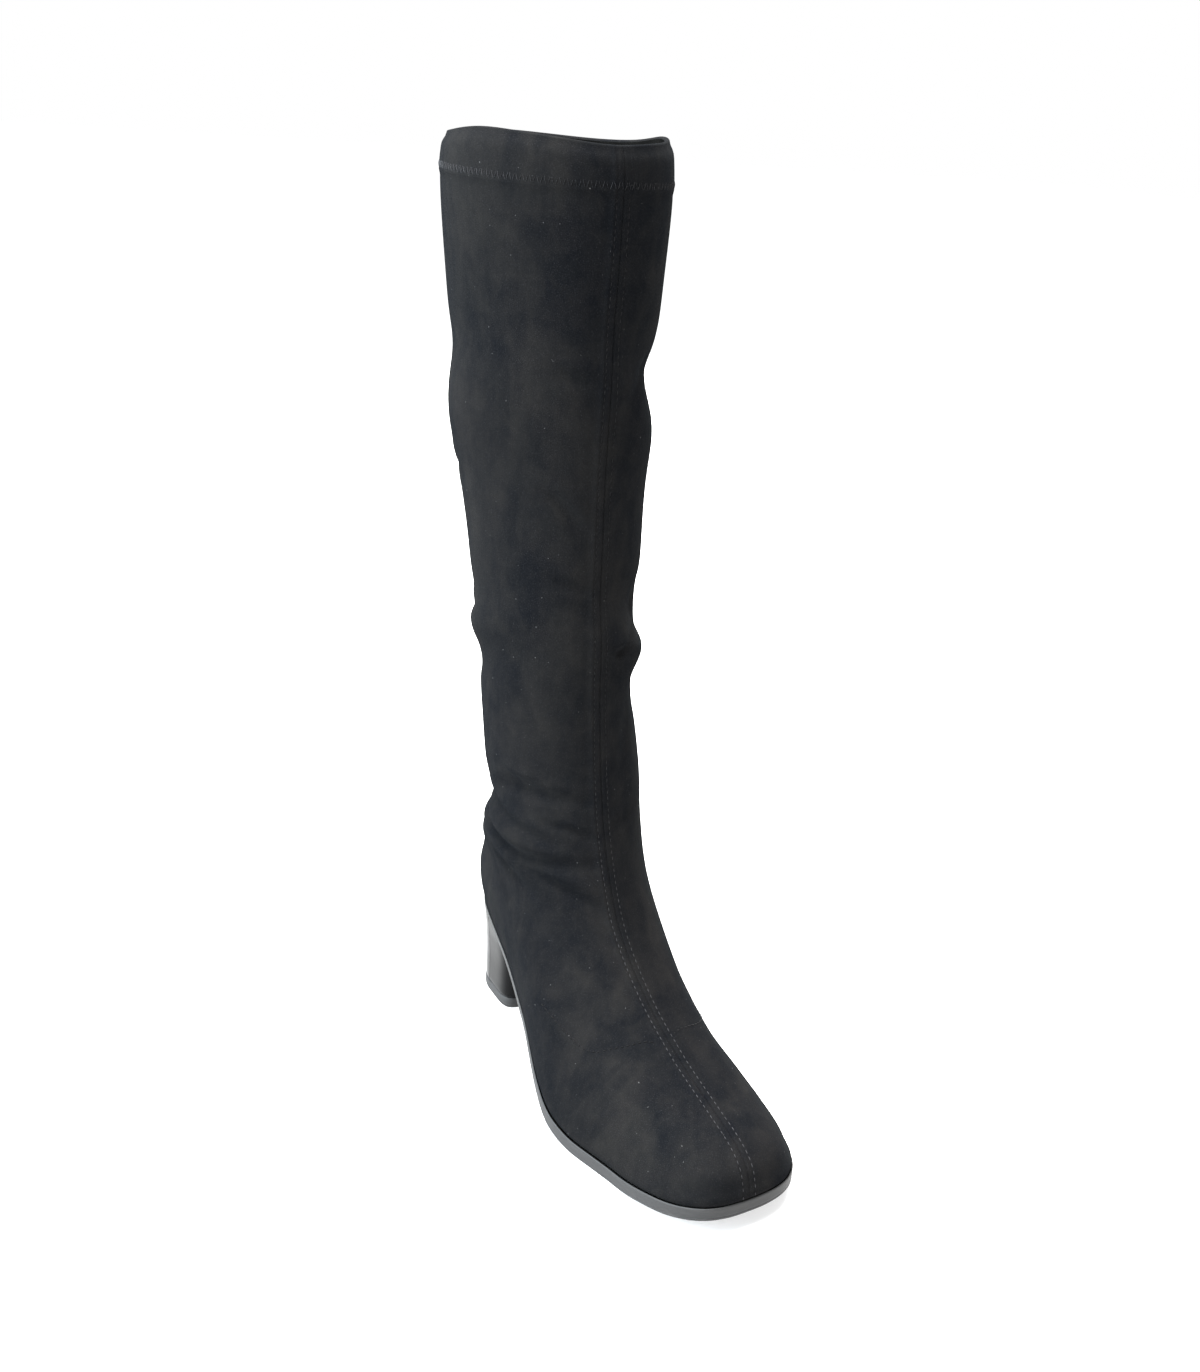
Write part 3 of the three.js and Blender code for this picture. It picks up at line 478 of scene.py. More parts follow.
def ring_faces(shape):
    """The quads of stacked rings with both ends closed, for an array of tubes, rings, points and x, y, z."""
    tubes, rings, count = shape[:3]
    first = np.arange(tubes)[:, None, None] * rings * count
    sides = (first + grid_faces(rings, count)[None]).reshape(-1, 4).tolist()
    ends = []
    for tube in range(tubes):
        base = tube * rings * count
        ends.append(list(range(base + count - 1, base - 1, -1)))
        ends.append(list(range(base + (rings - 1) * count, base + rings * count)))
    return sides + ends


print("faces of two tubes of three square rings:", len(ring_faces((2, 3, 4, 3))))


# %% [markdown]
# Materials are built from nodes on Object coordinates, so that a pattern sits on the boot in metres. A
# small helper adds nodes and links, because the same few are used over and over.

# %% Node helpers


class Nodes:
    """A material and short ways to add its nodes."""

    def __init__(self, name, **sockets):
        self.material = bpy.data.materials.new(name)
        self.material.use_nodes = True
        self.tree = self.material.node_tree
        self.shader = self.tree.nodes["Principled BSDF"]
        self.coords = self.add("ShaderNodeTexCoord").outputs["Object"]
        for socket, value in sockets.items():
            self.shader.inputs[socket.replace("_", " ")].default_value = value

    def add(self, kind, inputs=(), **settings):
        """A node with its settings, and its inputs set or linked by name or number."""
        node = self.tree.nodes.new(kind)
        for key, value in settings.items():
            setattr(node, key, value)
        for key, value in dict(inputs).items():
            if isinstance(value, bpy.types.NodeSocket):
                self.tree.links.new(value, node.inputs[key])
            else:
                node.inputs[key].default_value = value
        return node

    def stretched(self, scale):
        """Object coordinates times a scale for each axis."""
        return self.add("ShaderNodeMapping", {"Vector": self.coords, "Scale": scale}).outputs["Vector"]

    def noise(self, scale, detail=3.0, rough=0.5, coords=None, warp=0.0):
        """Smooth noise with so many blobs to the metre."""
        inputs = {"Vector": coords or self.coords, "Scale": scale, "Detail": detail, "Roughness": rough,
                  "Distortion": warp}
        return self.add("ShaderNodeTexNoise", inputs).outputs["Fac"]

    def math(self, how, a, b=0.0, clamp=False):
        """Two values brought together."""
        return self.add("ShaderNodeMath", {0: a, 1: b}, operation=how, use_clamp=clamp).outputs[0]

    def between(self, value, low, high, to_low=0.0, to_high=1.0):
        """A value taken from one range to another, held at the ends."""
        inputs = {"Value": value, "From Min": low, "From Max": high, "To Min": to_low, "To Max": to_high}
        return self.add("ShaderNodeMapRange", inputs).outputs["Result"]

    def mix(self, share, a, b):
        """A share of colour b over colour a."""
        inputs = {0: share, 6: a, 7: b}
        return self.add("ShaderNodeMix", inputs, data_type="RGBA").outputs[2]

    def bump(self, height, distance, strength=1.0, onto=None):
        """Height in units of a distance in metres, as a bent normal."""
        inputs = {"Height": height, "Distance": distance, "Strength": strength}
        if onto is not None:
            inputs["Normal"] = onto
        return self.add("ShaderNodeBump", inputs).outputs["Normal"]

    def link(self, **sockets):
        """Links outputs to the shader's sockets."""
        for socket, output in sockets.items():
            self.tree.links.new(output, self.shader.inputs[socket.replace("_", " ")])
        return self.material


print("node helpers:", [name for name in vars(Nodes) if not name.startswith("_")])

# %% [markdown]
# Faux suede is a knitted cloth with a brushed pile. Its colour shifts where the nap was stroked the other
# way, in soft diagonal patches, and it glows a little at grazing angles. Large noise gives the patches,
# noise pulled out along the leg gives the strokes, fine noise gives the pile, and sheen gives the glow.

# %% Suede
PATCH_TURN = (0.5, 0.35, 0.0)
PATCH_SCALE = (26, 26, 10)
SUEDE_DARK = (0.0033, 0.0037, 0.0045, 1)
SUEDE_PALE = (0.0097, 0.0093, 0.0090, 1)
SUEDE_FLECK = (0.026, 0.026, 0.028, 1)
LINT = (0.1, 0.1, 0.1, 1)


def suede():
    """Near-black cloth: broad patches and small blotches take it from a bluish dark to a warmer paler
    one, strokes and flecks vary both, and a few specks of lint lie on it."""
    m = Nodes("black suede", Sheen_Weight=0.011, Sheen_Roughness=0.5, Sheen_Tint=(0.85, 0.92, 1.0, 1.0),
              Specular_IOR_Level=0.0, Roughness=1.0)
    turned = m.add("ShaderNodeMapping", {"Vector": m.coords, "Rotation": PATCH_TURN, "Scale": PATCH_SCALE})
    patches = m.between(m.noise(1.0, 3.0, 0.55, turned.outputs["Vector"], 0.8), 0.42, 0.66)
    blotches = m.between(m.noise(95, 4.0, 0.6, warp=0.5), 0.36, 0.68)
    strokes = m.between(m.noise(1.0, 4.0, 0.6, m.stretched((420, 420, 60)), 0.3), 0.4, 0.75)
    pile = m.noise(2600, 2.0, 0.6)
    worn = m.math("ADD", m.math("MULTIPLY", patches, 0.55), m.math("MULTIPLY", blotches, 0.35))
    worn = m.math("ADD", worn, m.math("MULTIPLY", strokes, 0.12), True)
    base = m.mix(worn, SUEDE_DARK, SUEDE_PALE)
    color = m.mix(m.between(pile, 0.58, 0.8, 0.0, 0.6), base, SUEDE_FLECK)
    lint = m.between(m.noise(620, 1.0), 0.785, 0.81, 0.0, 0.4)
    soft = m.bump(strokes, 0.00012, 0.4)
    return m.link(Base_Color=m.mix(lint, color, LINT), Normal=m.bump(pile, 0.0002, 0.8, soft))


SUEDE = suede()
print("suede nodes:", len(SUEDE.node_tree.nodes))

# %% [markdown]
# Creases are what tell a worn boot from a plaster one. Each is a short bent line on the leg, pressed in
# along its middle with a soft ridge beside it. The table gives the turn round the leg and the height of
# its start, middle and end, its half width and its depth.

# %% Creases
CREASES = np.array([
    # turn, height (start, middle, end); half width; depth
    [332, 307, 342, 300, 351, 289, 2.6, 1.3],
    [334, 362, 344, 359, 354, 355, 2.6, 0.8],
    [336, 266, 346, 263, 356, 259, 2.4, 0.9],
    [296, 149, 322, 156, 352, 154, 3.0, 2.3],
    [300, 162, 318, 160, 334, 163, 2.4, 1.2],
    [258, 128, 305, 122, 354, 123, 3.2, 3.0],
    [270, 138, 310, 137, 338, 131, 2.6, 1.8],
    [336, 142, 348, 140, 356, 134, 1.9, 1.4],
    [320, 116, 345, 110, 359, 95, 2.5, 1.8],
    [282, 113, 305, 110, 328, 104, 2.8, 1.6],
    [4, 231, 12, 229, 26, 224, 2.2, 1.4],
    [7, 224, 14, 230, 26, 238, 2.0, 1.2],
    [10, 160, 15, 180, 19, 198, 2.6, 0.8],
    [8, 139, 14, 143, 26, 149, 2.4, 0.9],
    [40, 366, 20, 357, 8, 338, 3.0, 1.2],
    [222, 312, 246, 304, 268, 302, 3.2, 1.1],
    [214, 244, 240, 236, 262, 238, 3.0, 1.2],
    [196, 206, 226, 200, 258, 206, 3.0, 1.0],
    [188, 150, 226, 140, 268, 136, 3.4, 2.0],
    [196, 118, 232, 112, 266, 116, 3.2, 1.3],
    [120, 262, 146, 254, 176, 262, 3.2, 1.2],
    [128, 152, 152, 144, 184, 150, 3.0, 1.3],
    [132, 128, 156, 120, 182, 124, 3.0, 1.0],
    [128, 322, 150, 314, 178, 318, 3.4, 1.0],
])
LEG_RADIUS = 44
CREASE_NEAR = 60
RIDGE_SHARE = 0.45
RIDGE_OFF = 2.1


def turn_of(point):
    """The compass turn round the leg's leaning axis, from the front through the medial side."""
    lean = TOP_LEAN * np.clip((point[..., 2] - SEAT_TOP) / SHAFT_HEIGHT, 0, 1)
    across, ahead = point[..., 0] + lean, -(point[..., 1] + LEG_AXIS * FOOT_LENGTH)
    return np.mod(np.degrees(np.arctan2(across, ahead)), 360)


def crease_out(point):
    """Each crease: distance d to a parabola through its three places; minus depth times exp(-(d/w)^2),
    plus the ridge's share of it on a ridge some widths off, higher above the crease than below, fading
    to the ends."""
    turn, height = turn_of(point), point[..., 2]
    out = np.zeros_like(height)
    t = np.linspace(0, 1, 61)
    for turn0, up0, turn1, up1, turn2, up2, wide, deep in CREASES:
        near = np.abs(height - up1) < CREASE_NEAR
        middle = np.array([turn1, up1]) * 2 - 0.5 * (np.array([turn0, up0]) + np.array([turn2, up2]))
        path = ((1 - t) ** 2)[:, None] * [turn0, up0] + (2 * t * (1 - t))[:, None] * middle \
            + (t ** 2)[:, None] * [turn2, up2]
        across = np.radians(np.mod(turn[near][:, None] - path[:, 0] + 180, 360) - 180) * LEG_RADIUS
        apart = np.hypot(across, height[near][:, None] - path[:, 1])
        nearest = apart.argmin(1)
        side = np.sign(height[near] - path[nearest, 1])
        distance = apart.min(1)
        fade = np.sin(np.pi * np.clip(t[nearest], 0.04, 0.96)) ** 0.7
        ridge = RIDGE_SHARE * np.exp(-((distance - RIDGE_OFF * wide) / wide) ** 2) * (0.7 + 0.3 * side)
        out[near] += deep * fade * (ridge - np.exp(-(distance / wide) ** 2))
    return out


print("creases:", len(CREASES), "deepest", CREASES[:, -1].max(), "mm")

# %% [markdown]
# The suede is one dense grid. Its columns crowd where detail is small, at the front seam and the zip's
# edges, and its rows crowd at the hem. A height field over that grid adds the seam's two raised halves
# with the groove between, the sunk lines where the topstitching pulls, the hem's step and the creases.

# %% The suede's grid
SEAM_STOPS = np.array([0, 0.25, 0.5, 0.8, 1.3, 1.9, 2.4, 2.75, 3.0, 3.25, 3.6, 4.1, 4.5, 4.9, 5.3, 5.7, 6.6])
EDGE_STOPS = np.array([0, 0.35, 0.8, 1.4, 1.9, 2.2, 2.5, 3.0, 4.0])
HEM_HEIGHT = 19
HEM_STEP = 0.5
COLUMNS = {"to_zip": 76, "to_back": 42, "lateral": 122}
ROWS = 300
BY_DISTANCE, BY_ANGLE = 0.65, 0.35


def even_between(v, start, end, count):
    """Angles spaced by distance round the section, mixed with even spacing, without either end, row by
    row."""
    share = np.linspace(0, 1, 97)
    samples = start[:, None] + (end - start)[:, None] * share
    steps = np.linalg.norm(np.diff(last_point(v[:, None], samples), axis=1), axis=-1)
    each = BY_DISTANCE * steps / steps.sum(1, keepdims=True) + BY_ANGLE / 96
    reached = np.cumsum(np.pad(each, ((0, 0), (1, 0))), axis=1)
    wanted = np.linspace(0, 1, count + 2)[1:-1]
    return np.array([np.interp(wanted, r, s) for r, s in zip(reached, samples)])


def suede_angles(v):
    """The columns' angles in each row: seam stops, evenly to the zip's edge stops, the slot, and on
    round."""
    zero = np.zeros_like(v)
    seam = angle_away(v[:, None], 0.0, np.broadcast_to(SEAM_STOPS, (len(v), len(SEAM_STOPS))))
    stops = -SEAM_STOPS[:0:-1]
    seam_lat = 2 * np.pi + angle_away(v[:, None], 0.0, np.broadcast_to(stops, (len(v), len(stops))))
    zipped = zip_angle(v)[:, None]
    half = SLOT_WIDTH / 2
    front_edge = angle_away(v[:, None], zipped, -(half + EDGE_STOPS[::-1])[None] + zero[:, None])
    back_edge = angle_away(v[:, None], zipped, (half + EDGE_STOPS)[None] + zero[:, None])
    to_zip = even_between(v, seam[:, -1], front_edge[:, 0], COLUMNS["to_zip"])
    to_back = even_between(v, back_edge[:, -1], zero + np.pi, COLUMNS["to_back"])
    lateral = even_between(v, zero + np.pi, seam_lat[:, 0], COLUMNS["lateral"])
    back = np.full((len(v), 1), np.pi)
    return np.hstack([seam, to_zip, front_edge, zipped, back_edge, to_back, back, lateral, seam_lat])


def even_heights(count):
    """Section numbers spaced evenly by the distance up the lateral side plus half of that up the front."""
    v = np.linspace(0, COLLAR, 800)
    steps = np.linalg.norm(np.diff(last_point(v, 1.5 * np.pi), axis=0), axis=-1)
    front = np.linalg.norm(np.diff(last_point(v, 0.0), axis=0), axis=-1)
    reached = np.concatenate([[0], np.cumsum(steps + 0.5 * front)])
    return np.interp(np.linspace(0, reached[-1], count), reached, v)


back_top = SECTIONS[COLLAR, 3]
HEM_FOOT, HEM_TOP = section_at_back([back_top - HEM_HEIGHT, back_top - HEM_HEIGHT + HEM_STEP])
hem_rows = np.linspace(HEM_FOOT - 0.01, HEM_TOP + 0.02, 7)
levels = even_heights(ROWS)
marks = np.concatenate([hem_rows, SLOT_ENDS])
levels = levels[np.abs(levels[:, None] - marks).min(1) > 0.008]
levels = np.sort(np.concatenate([levels, marks]))
angles = suede_angles(levels)
wall = wall_point(levels[:, None], angles)
print("suede grid", wall.shape)

# %% [markdown]
# Suede is too dark for its shape to show by colour, so its small forms are real height. The front seam
# stands up as two halves with a groove between them and a sunk line on either side, where the thread
# pulls. The hem steps out, the rim leans in, and the foot bulges over the sole. Each of them is one
# function of a distance.

# %% Forms of the suede
SEAM_WIDTH = 9
SEAM_STEP = 0.6
SEAM_GROOVE = 1.6
SEAM_SLOPE = 1.2
TOPSTITCH = 3.0
STITCH_PULL, PULL_WIDE = 0.22, 0.5
GROOVE_DEEP, GROOVE_WIDE = 0.4, 0.3
HEM_SPREAD = 0.06
RIM_SHOULDER, RIM_TALL = 1.9, 3.2
RIM_WAVES = [(-130, 40, -3.0), (-60, 30, 1.5), (-4, 15, -1.2), (60, 28, 2.4), (140, 50, -2.6)]
WAVE_TALL = 11
BULGE, BULGE_TALL = 1.4, 5
TUCK, TUCK_TALL = 0.5, 0.7
ROLL_TALL = 20


def seam_relief(away, v):
    """Raised on both sides of the groove and falling off past the band, sunk along the two rows of
    topstitch."""
    d = np.abs(away)
    band = 0.5 + 0.5 * smooth(d, 0, SEAM_GROOVE / 2)
    band = band * (1 - smooth(d, SEAM_WIDTH / 2 - 1, SEAM_WIDTH / 2 + 2 * SEAM_SLOPE))
    pulled = STITCH_PULL * np.exp(-((d - TOPSTITCH) / PULL_WIDE) ** 2)
    groove = GROOVE_DEEP * np.exp(-(d / GROOVE_WIDE) ** 2)
    return (SEAM_STEP * band - pulled - groove) * smooth(v, 0, 1)


def under_rim(point):
    """Millimetres below the collar's tilted plane."""
    front_y, front_z, back_y, back_z = SECTIONS[COLLAR, :4]
    return front_z + (back_z - front_z) * (point[..., 1] - front_y) / (back_y - front_y) - point[..., 2]


def rim_in(point):
    """How far the wall leans in near the rim: a bell curve of the height below it."""
    return RIM_SHOULDER * np.exp(-(under_rim(point) / RIM_TALL) ** 2)


def hem_out(point, v):
    """The hem's step taken over about two millimetres, less the lean of the rim."""
    return HEM_STEP * smooth(v, HEM_FOOT - HEM_SPREAD, HEM_TOP) - rim_in(point)


def foot_roll(point):
    """The suede bulges out over the lip in its last millimetres, and tucks in again at the feather line."""
    up = point[..., 2] - sole_top(point[..., 1]) - FEATHER_GAP
    bulge = BULGE * np.exp(-(up / BULGE_TALL) ** 2) - TUCK * np.exp(-(up / TUCK_TALL) ** 2)
    return bulge * np.where(up < ROLL_TALL, sole_at(point[..., 1], "lip"), 0)


def dipped(points):
    """The rim moved up or down by bell curves of the turn round it, less and less below it."""
    turn = turn_of(points)
    waves = sum(high * np.exp(-((np.mod(turn - middle + 180, 360) - 180) / wide) ** 2)
                for middle, wide, high in RIM_WAVES)
    moved = points.copy()
    moved[..., 2] += waves * np.exp(-(under_rim(points) / WAVE_TALL) ** 2)
    return moved


def distances_round(points):
    """Millimetres from the front seam, less than half way round on either side."""
    steps = np.linalg.norm(np.diff(points, axis=1), axis=-1)
    reached = np.pad(np.cumsum(steps, axis=1), ((0, 0), (1, 0)))
    whole = reached[:, -1:] + np.linalg.norm(points[:, 0] - points[:, -1], axis=-1)[:, None]
    return np.where(reached > whole / 2, reached - whole, reached)


from_seam = distances_round(wall)
print("half way round the collar", round(from_seam[-1].max()), "mm")

# %% [markdown]
# The forms are added up on the grid. Beside the zip the cut edge is turned in and a row of thread pulls,
# as far as the slot reaches, and the creases keep quiet near the front seam and the zip, where the boot
# is stiff.

# %% The suede's relief
EDGE_TURNED, EDGE_ROUND = 0.7, 0.7
ZIP_ROW_AT, ZIP_ROW_PULL, ZIP_ROW_WIDE = 2.2, 0.15, 0.4
ZIP_FADE = 12
QUIET_SEAM, QUIET_ZIP = 9, 14
slot_middle = len(SEAM_STOPS) + COLUMNS["to_zip"] + len(EDGE_STOPS)
slot_edge = (slot_middle - 1, slot_middle + 1)
beside_zip = np.abs(from_seam - from_seam[:, slot_middle:slot_middle + 1]) - SLOT_WIDTH / 2
end_gap = np.maximum(SLOT_ENDS[0] - levels, levels - SLOT_ENDS[1])
zip_near = np.clip(1 - np.maximum(end_gap, 0)[:, None] * ZIP_FADE, 0, 1)
relief = seam_relief(from_seam, levels[:, None])
relief = relief + hem_out(wall, levels[:, None]) + foot_roll(wall)
relief = relief - EDGE_TURNED * np.exp(-(np.maximum(beside_zip, 0) / EDGE_ROUND) ** 2) * zip_near
relief = relief - ZIP_ROW_PULL * np.exp(-((beside_zip - ZIP_ROW_AT) / ZIP_ROW_WIDE) ** 2) * zip_near
quiet = smooth(np.abs(from_seam), 0, QUIET_SEAM) * 0.75 + 0.25
quiet = quiet * np.where(zip_near > 0, smooth(beside_zip, 0, QUIET_ZIP), 1)
relief = relief + crease_out(wall) * quiet * smooth(levels, 1, 3)[:, None]
normals = wall_normal(levels[:, None], angles)
skin = wall + normals * relief[..., None]
print("relief from", round(relief.min(), 2), "to", round(relief.max(), 2), "mm")

# %% [markdown]
# At the collar the suede turns over a soft edge and meets the lining. A few more rows go round half an
# ellipse, from the hem's outside to the wall's inside.

# %% Suede with its rolled rim
WALL = 1.8
CROWN = 0.7
CROWN_EXTRA = 0.3


def rolled_rim(count):
    """Rows round half an ellipse: out goes from the hem to the inside, up goes a little past the crown."""
    turn = np.linspace(0, np.pi, count + 1)[1:]
    out = (HEM_STEP - WALL) / 2 - RIM_SHOULDER + (HEM_STEP + WALL) / 2 * np.cos(turn)
    seam = seam_relief(from_seam[-1], levels[-1])[None] * (0.5 + 0.5 * np.cos(turn))[:, None]
    rows = wall[-1][None] + normals[-1][None] * (out[:, None] + seam)[..., None]
    rows[..., 2] += ((CROWN + CROWN_EXTRA) * np.sin(turn))[:, None]
    return rows


rim = rolled_rim(8)
suede_rows = dipped(np.concatenate([skin, rim]))
row_count, column_count = suede_rows.shape[:2]
faces = grid_faces(row_count, column_count).reshape(row_count - 1, column_count, 4)
keep = np.ones(faces.shape[:2], bool)
slot_rows = np.searchsorted(levels, SLOT_ENDS)
keep[slot_rows[0]:slot_rows[1], slot_edge[0]:slot_edge[1]] = False
suede_piece = add_piece("upper_suede", suede_rows, faces[keep], SUEDE, "suede")
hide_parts("upper")

# %% [markdown]
# The grid has an open slot for the zip, and a cut edge of real thickness is what makes the slot
# believable. A strip follows the slot all the way round and goes straight into the wall.

# %% The slot's edge


def slot_return():
    """A strip from the slot's edge straight into the wall, all the way round the slot."""
    first, last = slot_rows
    left, right = slot_edge
    up = [(i, right) for i in range(first, last + 1)]
    down = [(i, left) for i in range(last, first - 1, -1)]
    loop = up + [(last, slot_middle)] + down + [(first, slot_middle)]
    i, j = np.array(loop).T
    depths = np.array([0, 0.5, WALL])
    rows = skin[i, j][None] - normals[i, j][None] * depths[:, None, None]
    return rows[::-1], grid_faces(3, len(loop))


edge_rows, edge_faces = slot_return()
add_piece("zip_opening_edge", edge_rows, edge_faces, SUEDE, "suede")

# %% [markdown]
# Inside is a thin knitted lining. It is a coarser grid of the same wall, a wall's thickness in, facing
# inwards, with the zip's opening cut out of it.

# %% Lining


def lining_material():
    """Dark grey-brown knit: fine noise pressed flat along the height gives the loops, over soft colour
    noise."""
    m = Nodes("knitted lining", Specular_IOR_Level=0.0, Roughness=1.0)
    loops = m.noise(1400, 2.0, 0.6, m.stretched((1, 1, 2.2)))
    cloud = m.noise(60, 3.0)
    color = m.mix(m.between(cloud, 0.35, 0.7), (0.006, 0.0057, 0.0054, 1), (0.013, 0.012, 0.011, 1))
    return m.link(Base_Color=color, Normal=m.bump(loops, 0.0002, 0.8))


LINING = lining_material()
LINING_ROWS = 130
BESIDE_ZIP = 0.6
lining_levels = np.sort(np.concatenate([even_heights(LINING_ROWS), SLOT_ENDS]))


def lining_grid():
    """The wall moved in, row by row, with its faces turned round to look inwards."""
    a = suede_angles(lining_levels)
    slot_columns = [slot_edge[0], slot_middle, slot_edge[1]]
    take = np.unique(np.concatenate([np.arange(0, a.shape[1], 2), slot_columns]))
    bare = wall_point(lining_levels[:, None], a[:, take])
    pressed = np.minimum(crease_out(bare), 0) * (np.abs(a[:, take] - np.pi / 2) > BESIDE_ZIP) - rim_in(bare)
    rows = off_wall(lining_levels[:, None], a[:, take], pressed - WALL)
    rows[0, :, 2] = sole_top(rows[0, :, 1]) + FEATHER_GAP
    quads = grid_faces(len(lining_levels), len(take))[:, ::-1].reshape(len(lining_levels) - 1, len(take), 4)
    left, right = np.searchsorted(take, slot_edge)
    bottom, top = np.searchsorted(lining_levels, SLOT_ENDS)
    opening = np.zeros(quads.shape[:2], bool)
    opening[bottom:top, left:right] = True
    return rows, quads[~opening]


lining_rows, lining_faces = lining_grid()
add_piece("upper_lining", dipped(lining_rows), lining_faces, LINING, "lining")

# %% [markdown]
# Where the upper meets the sole, its cut edge would show as a gap between suede and lining. A narrow
# strip joins the two along the feather line.

# %% Feather edge


def feather_edge():
    """The cut edge under the upper, from its outside to its inside, on the sole."""
    outside = skin[0]
    inside = off_wall(np.zeros(column_count), angles[0], np.full(column_count, -WALL))
    inside[:, 2] = sole_top(inside[:, 1]) + FEATHER_GAP
    return np.stack([inside, outside]), grid_faces(2, column_count)


feather_rows, feather_faces = feather_edge()
add_piece("upper_feather_edge", feather_rows, feather_faces, SUEDE, "suede")

# %% [markdown]
# Topstitching is thread, so it is modelled as thread: short rounded bars that rise from one needle hole
# and dip into the next. Its colour carries painted light: it is paler where the lamps fall on a row and
# darker, as painted shade, where the light leaves it, one part of a row after another.

# %% Thread


def thread_material(name, pale, dark, axis, painted_lit_at, painted_shaded_at):
    """Twisted thread: fine slanted waves bump it, and painted light takes it from a lit colour to a shaded
    one along one axis, between two places in metres, with noise over both."""
    m = Nodes(name, Roughness=0.7, Specular_IOR_Level=0.1)
    twist = m.add("ShaderNodeTexWave", {"Vector": m.coords, "Scale": 900.0, "Distortion": 1.5},
                  bands_direction="DIAGONAL").outputs["Fac"]
    # Painted light: the share of painted shade grows along the axis, from the lit place to the shaded one.
    place = m.add("ShaderNodeSeparateXYZ", {"Vector": m.coords}).outputs[axis]
    painted_light_falloff = m.between(place, painted_lit_at, painted_shaded_at)
    share = m.math("ADD", painted_light_falloff, m.between(m.noise(300, 2.0), 0.3, 0.7, -0.2, 0.2), True)
    return m.link(Base_Color=m.mix(share, (*pale, 1), (*dark, 1)), Normal=m.bump(twist, 0.00008, 0.6))


# Painted light on the black thread: paler low on the boot, where the lamps light the foot, darker up the
# leg.
THREAD = thread_material("black thread", (0.022, 0.022, 0.0235), (0.004, 0.004, 0.0045), "Z", 0.06, 0.2)
# Painted light on the hem's thread: its pale colour is the painted lit side, on the outer side the lamps
# light, darker towards the front.
HEM_THREAD = thread_material("raised hem thread", (0.036, 0.037, 0.04), (0.011, 0.011, 0.012),
                             "X", -0.065, 0.0)
# Painted shade: the vamp's thread is made darker than the suede to stand for the shade in sunk stitch holes,
# and it is paler low down as painted light.
SUNK_SHADE_THREAD = thread_material("sunk black thread", (0.002, 0.002, 0.0024), (0.0008, 0.0008, 0.001),
                              "Z", 0, 0.08)
print("threads:", [thread.name for thread in (THREAD, HEM_THREAD, SUNK_SHADE_THREAD)])

# %% [markdown]
# One function makes any number of bars along a path on the wall, as tubes of a few rings of six points.
# Where the path runs over the seam's band, the bars follow the same relief as the suede. The front seam
# comes first, with a row on either side of the groove.

# %% Stitches of the front seam
BAR_STEPS = np.array([-1.0, -0.7, 0.0, 0.7, 1.0])
BAR_SIDES = 6
SEAM_PITCH = 3.1
SEAM_BAR = {"length": 1.9, "radius": 0.24, "lift": 0.16}
SEAM_CREASED = 0.33


def stitches(points, outward, length, radius, lift):
    """Bars between neighbouring holes: along each, s from -1 to 1, the thread rises as lift (1 - s^2)
    and its radius falls a little to the ends. Points are the bars' middles."""
    tangents = unit(np.gradient(points, axis=0))
    sides = unit(np.cross(outward, tangents))
    s = BAR_STEPS
    turn = np.linspace(0, 2 * np.pi, BAR_SIDES, endpoint=False)
    centre = points[:, None] + tangents[:, None] * (s * length / 2)[None, :, None] \
        + outward[:, None] * (lift * (1 - s ** 2) - 0.5 * radius)[None, :, None]
    size = (radius * (1 - 0.45 * s ** 2))[None, :, None, None]
    circle = sides[:, None, None] * np.cos(turn)[None, None, :, None] \
        + outward[:, None, None] * np.sin(turn)[None, None, :, None]
    return centre[:, :, None] - size * circle


def surface_out(v, a, away):
    """The suede's surface at places on the seam's band, found from the same relief."""
    point = wall_point(v, a)
    return seam_relief(away, v) + hem_out(point, v) + foot_roll(point)


def resample(v, a, pitch):
    """Places along a path on the wall, a pitch apart."""
    points = wall_point(v, a)
    reached = np.concatenate([[0], np.cumsum(np.linalg.norm(np.diff(points, axis=0), axis=-1))])
    wanted = np.arange(pitch / 2, reached[-1], pitch)
    return np.interp(wanted, reached, v), np.interp(wanted, reached, a)


def seam_rows():
    """Two rows of bars beside the front seam, from the feather line to the hem."""
    bars = []
    v = np.interp(np.linspace(0, 1, 700), np.linspace(0, 1, len(levels)), levels)
    v = v[(v > 0.25) & (v < HEM_FOOT - 0.04)]
    for side in (-TOPSTITCH, TOPSTITCH):
        a = angle_away(v, 0.0, np.full(len(v), side))
        at, turn = resample(v, a, SEAM_PITCH)
        out = surface_out(at, turn, np.full(len(at), side))
        middle = off_wall(at, turn, out + crease_out(wall_point(at, turn)) * SEAM_CREASED)
        bars.append(stitches(middle, wall_normal(at, turn), **SEAM_BAR))
    return np.concatenate(bars)


seam_bars = seam_rows()
add_piece("front_seam_stitches", seam_bars, ring_faces(seam_bars.shape), THREAD, "suede")

# %% [markdown]
# The vamp carries one curved row from the front seam back along each side. Its places are a few points on
# the foot, and the nearest place on the wall is looked up on the grid.

# %% Vamp row
VAMP_LATERAL = np.array([[0, -174, 58], [-6, -171, 57], [-15, -167, 54], [-21, -163, 51], [-27, -158, 49],
                         [-30, -150, 49], [-33, -140, 52], [-35, -131, 55], [-37, -122, 58]], float)
VAMP_MEDIAL = np.array([[9, -173, 58], [14, -171, 58], [20, -169, 57], [30, -164, 53], [37, -156, 50],
                        [41, -146, 50], [42, -136, 53], [42, -126, 56]], float)
VAMP_PITCH = 2.9
VAMP_BAR = {"length": 1.9, "radius": 0.34, "lift": 0.12}
VAMP_OUT = 0.06


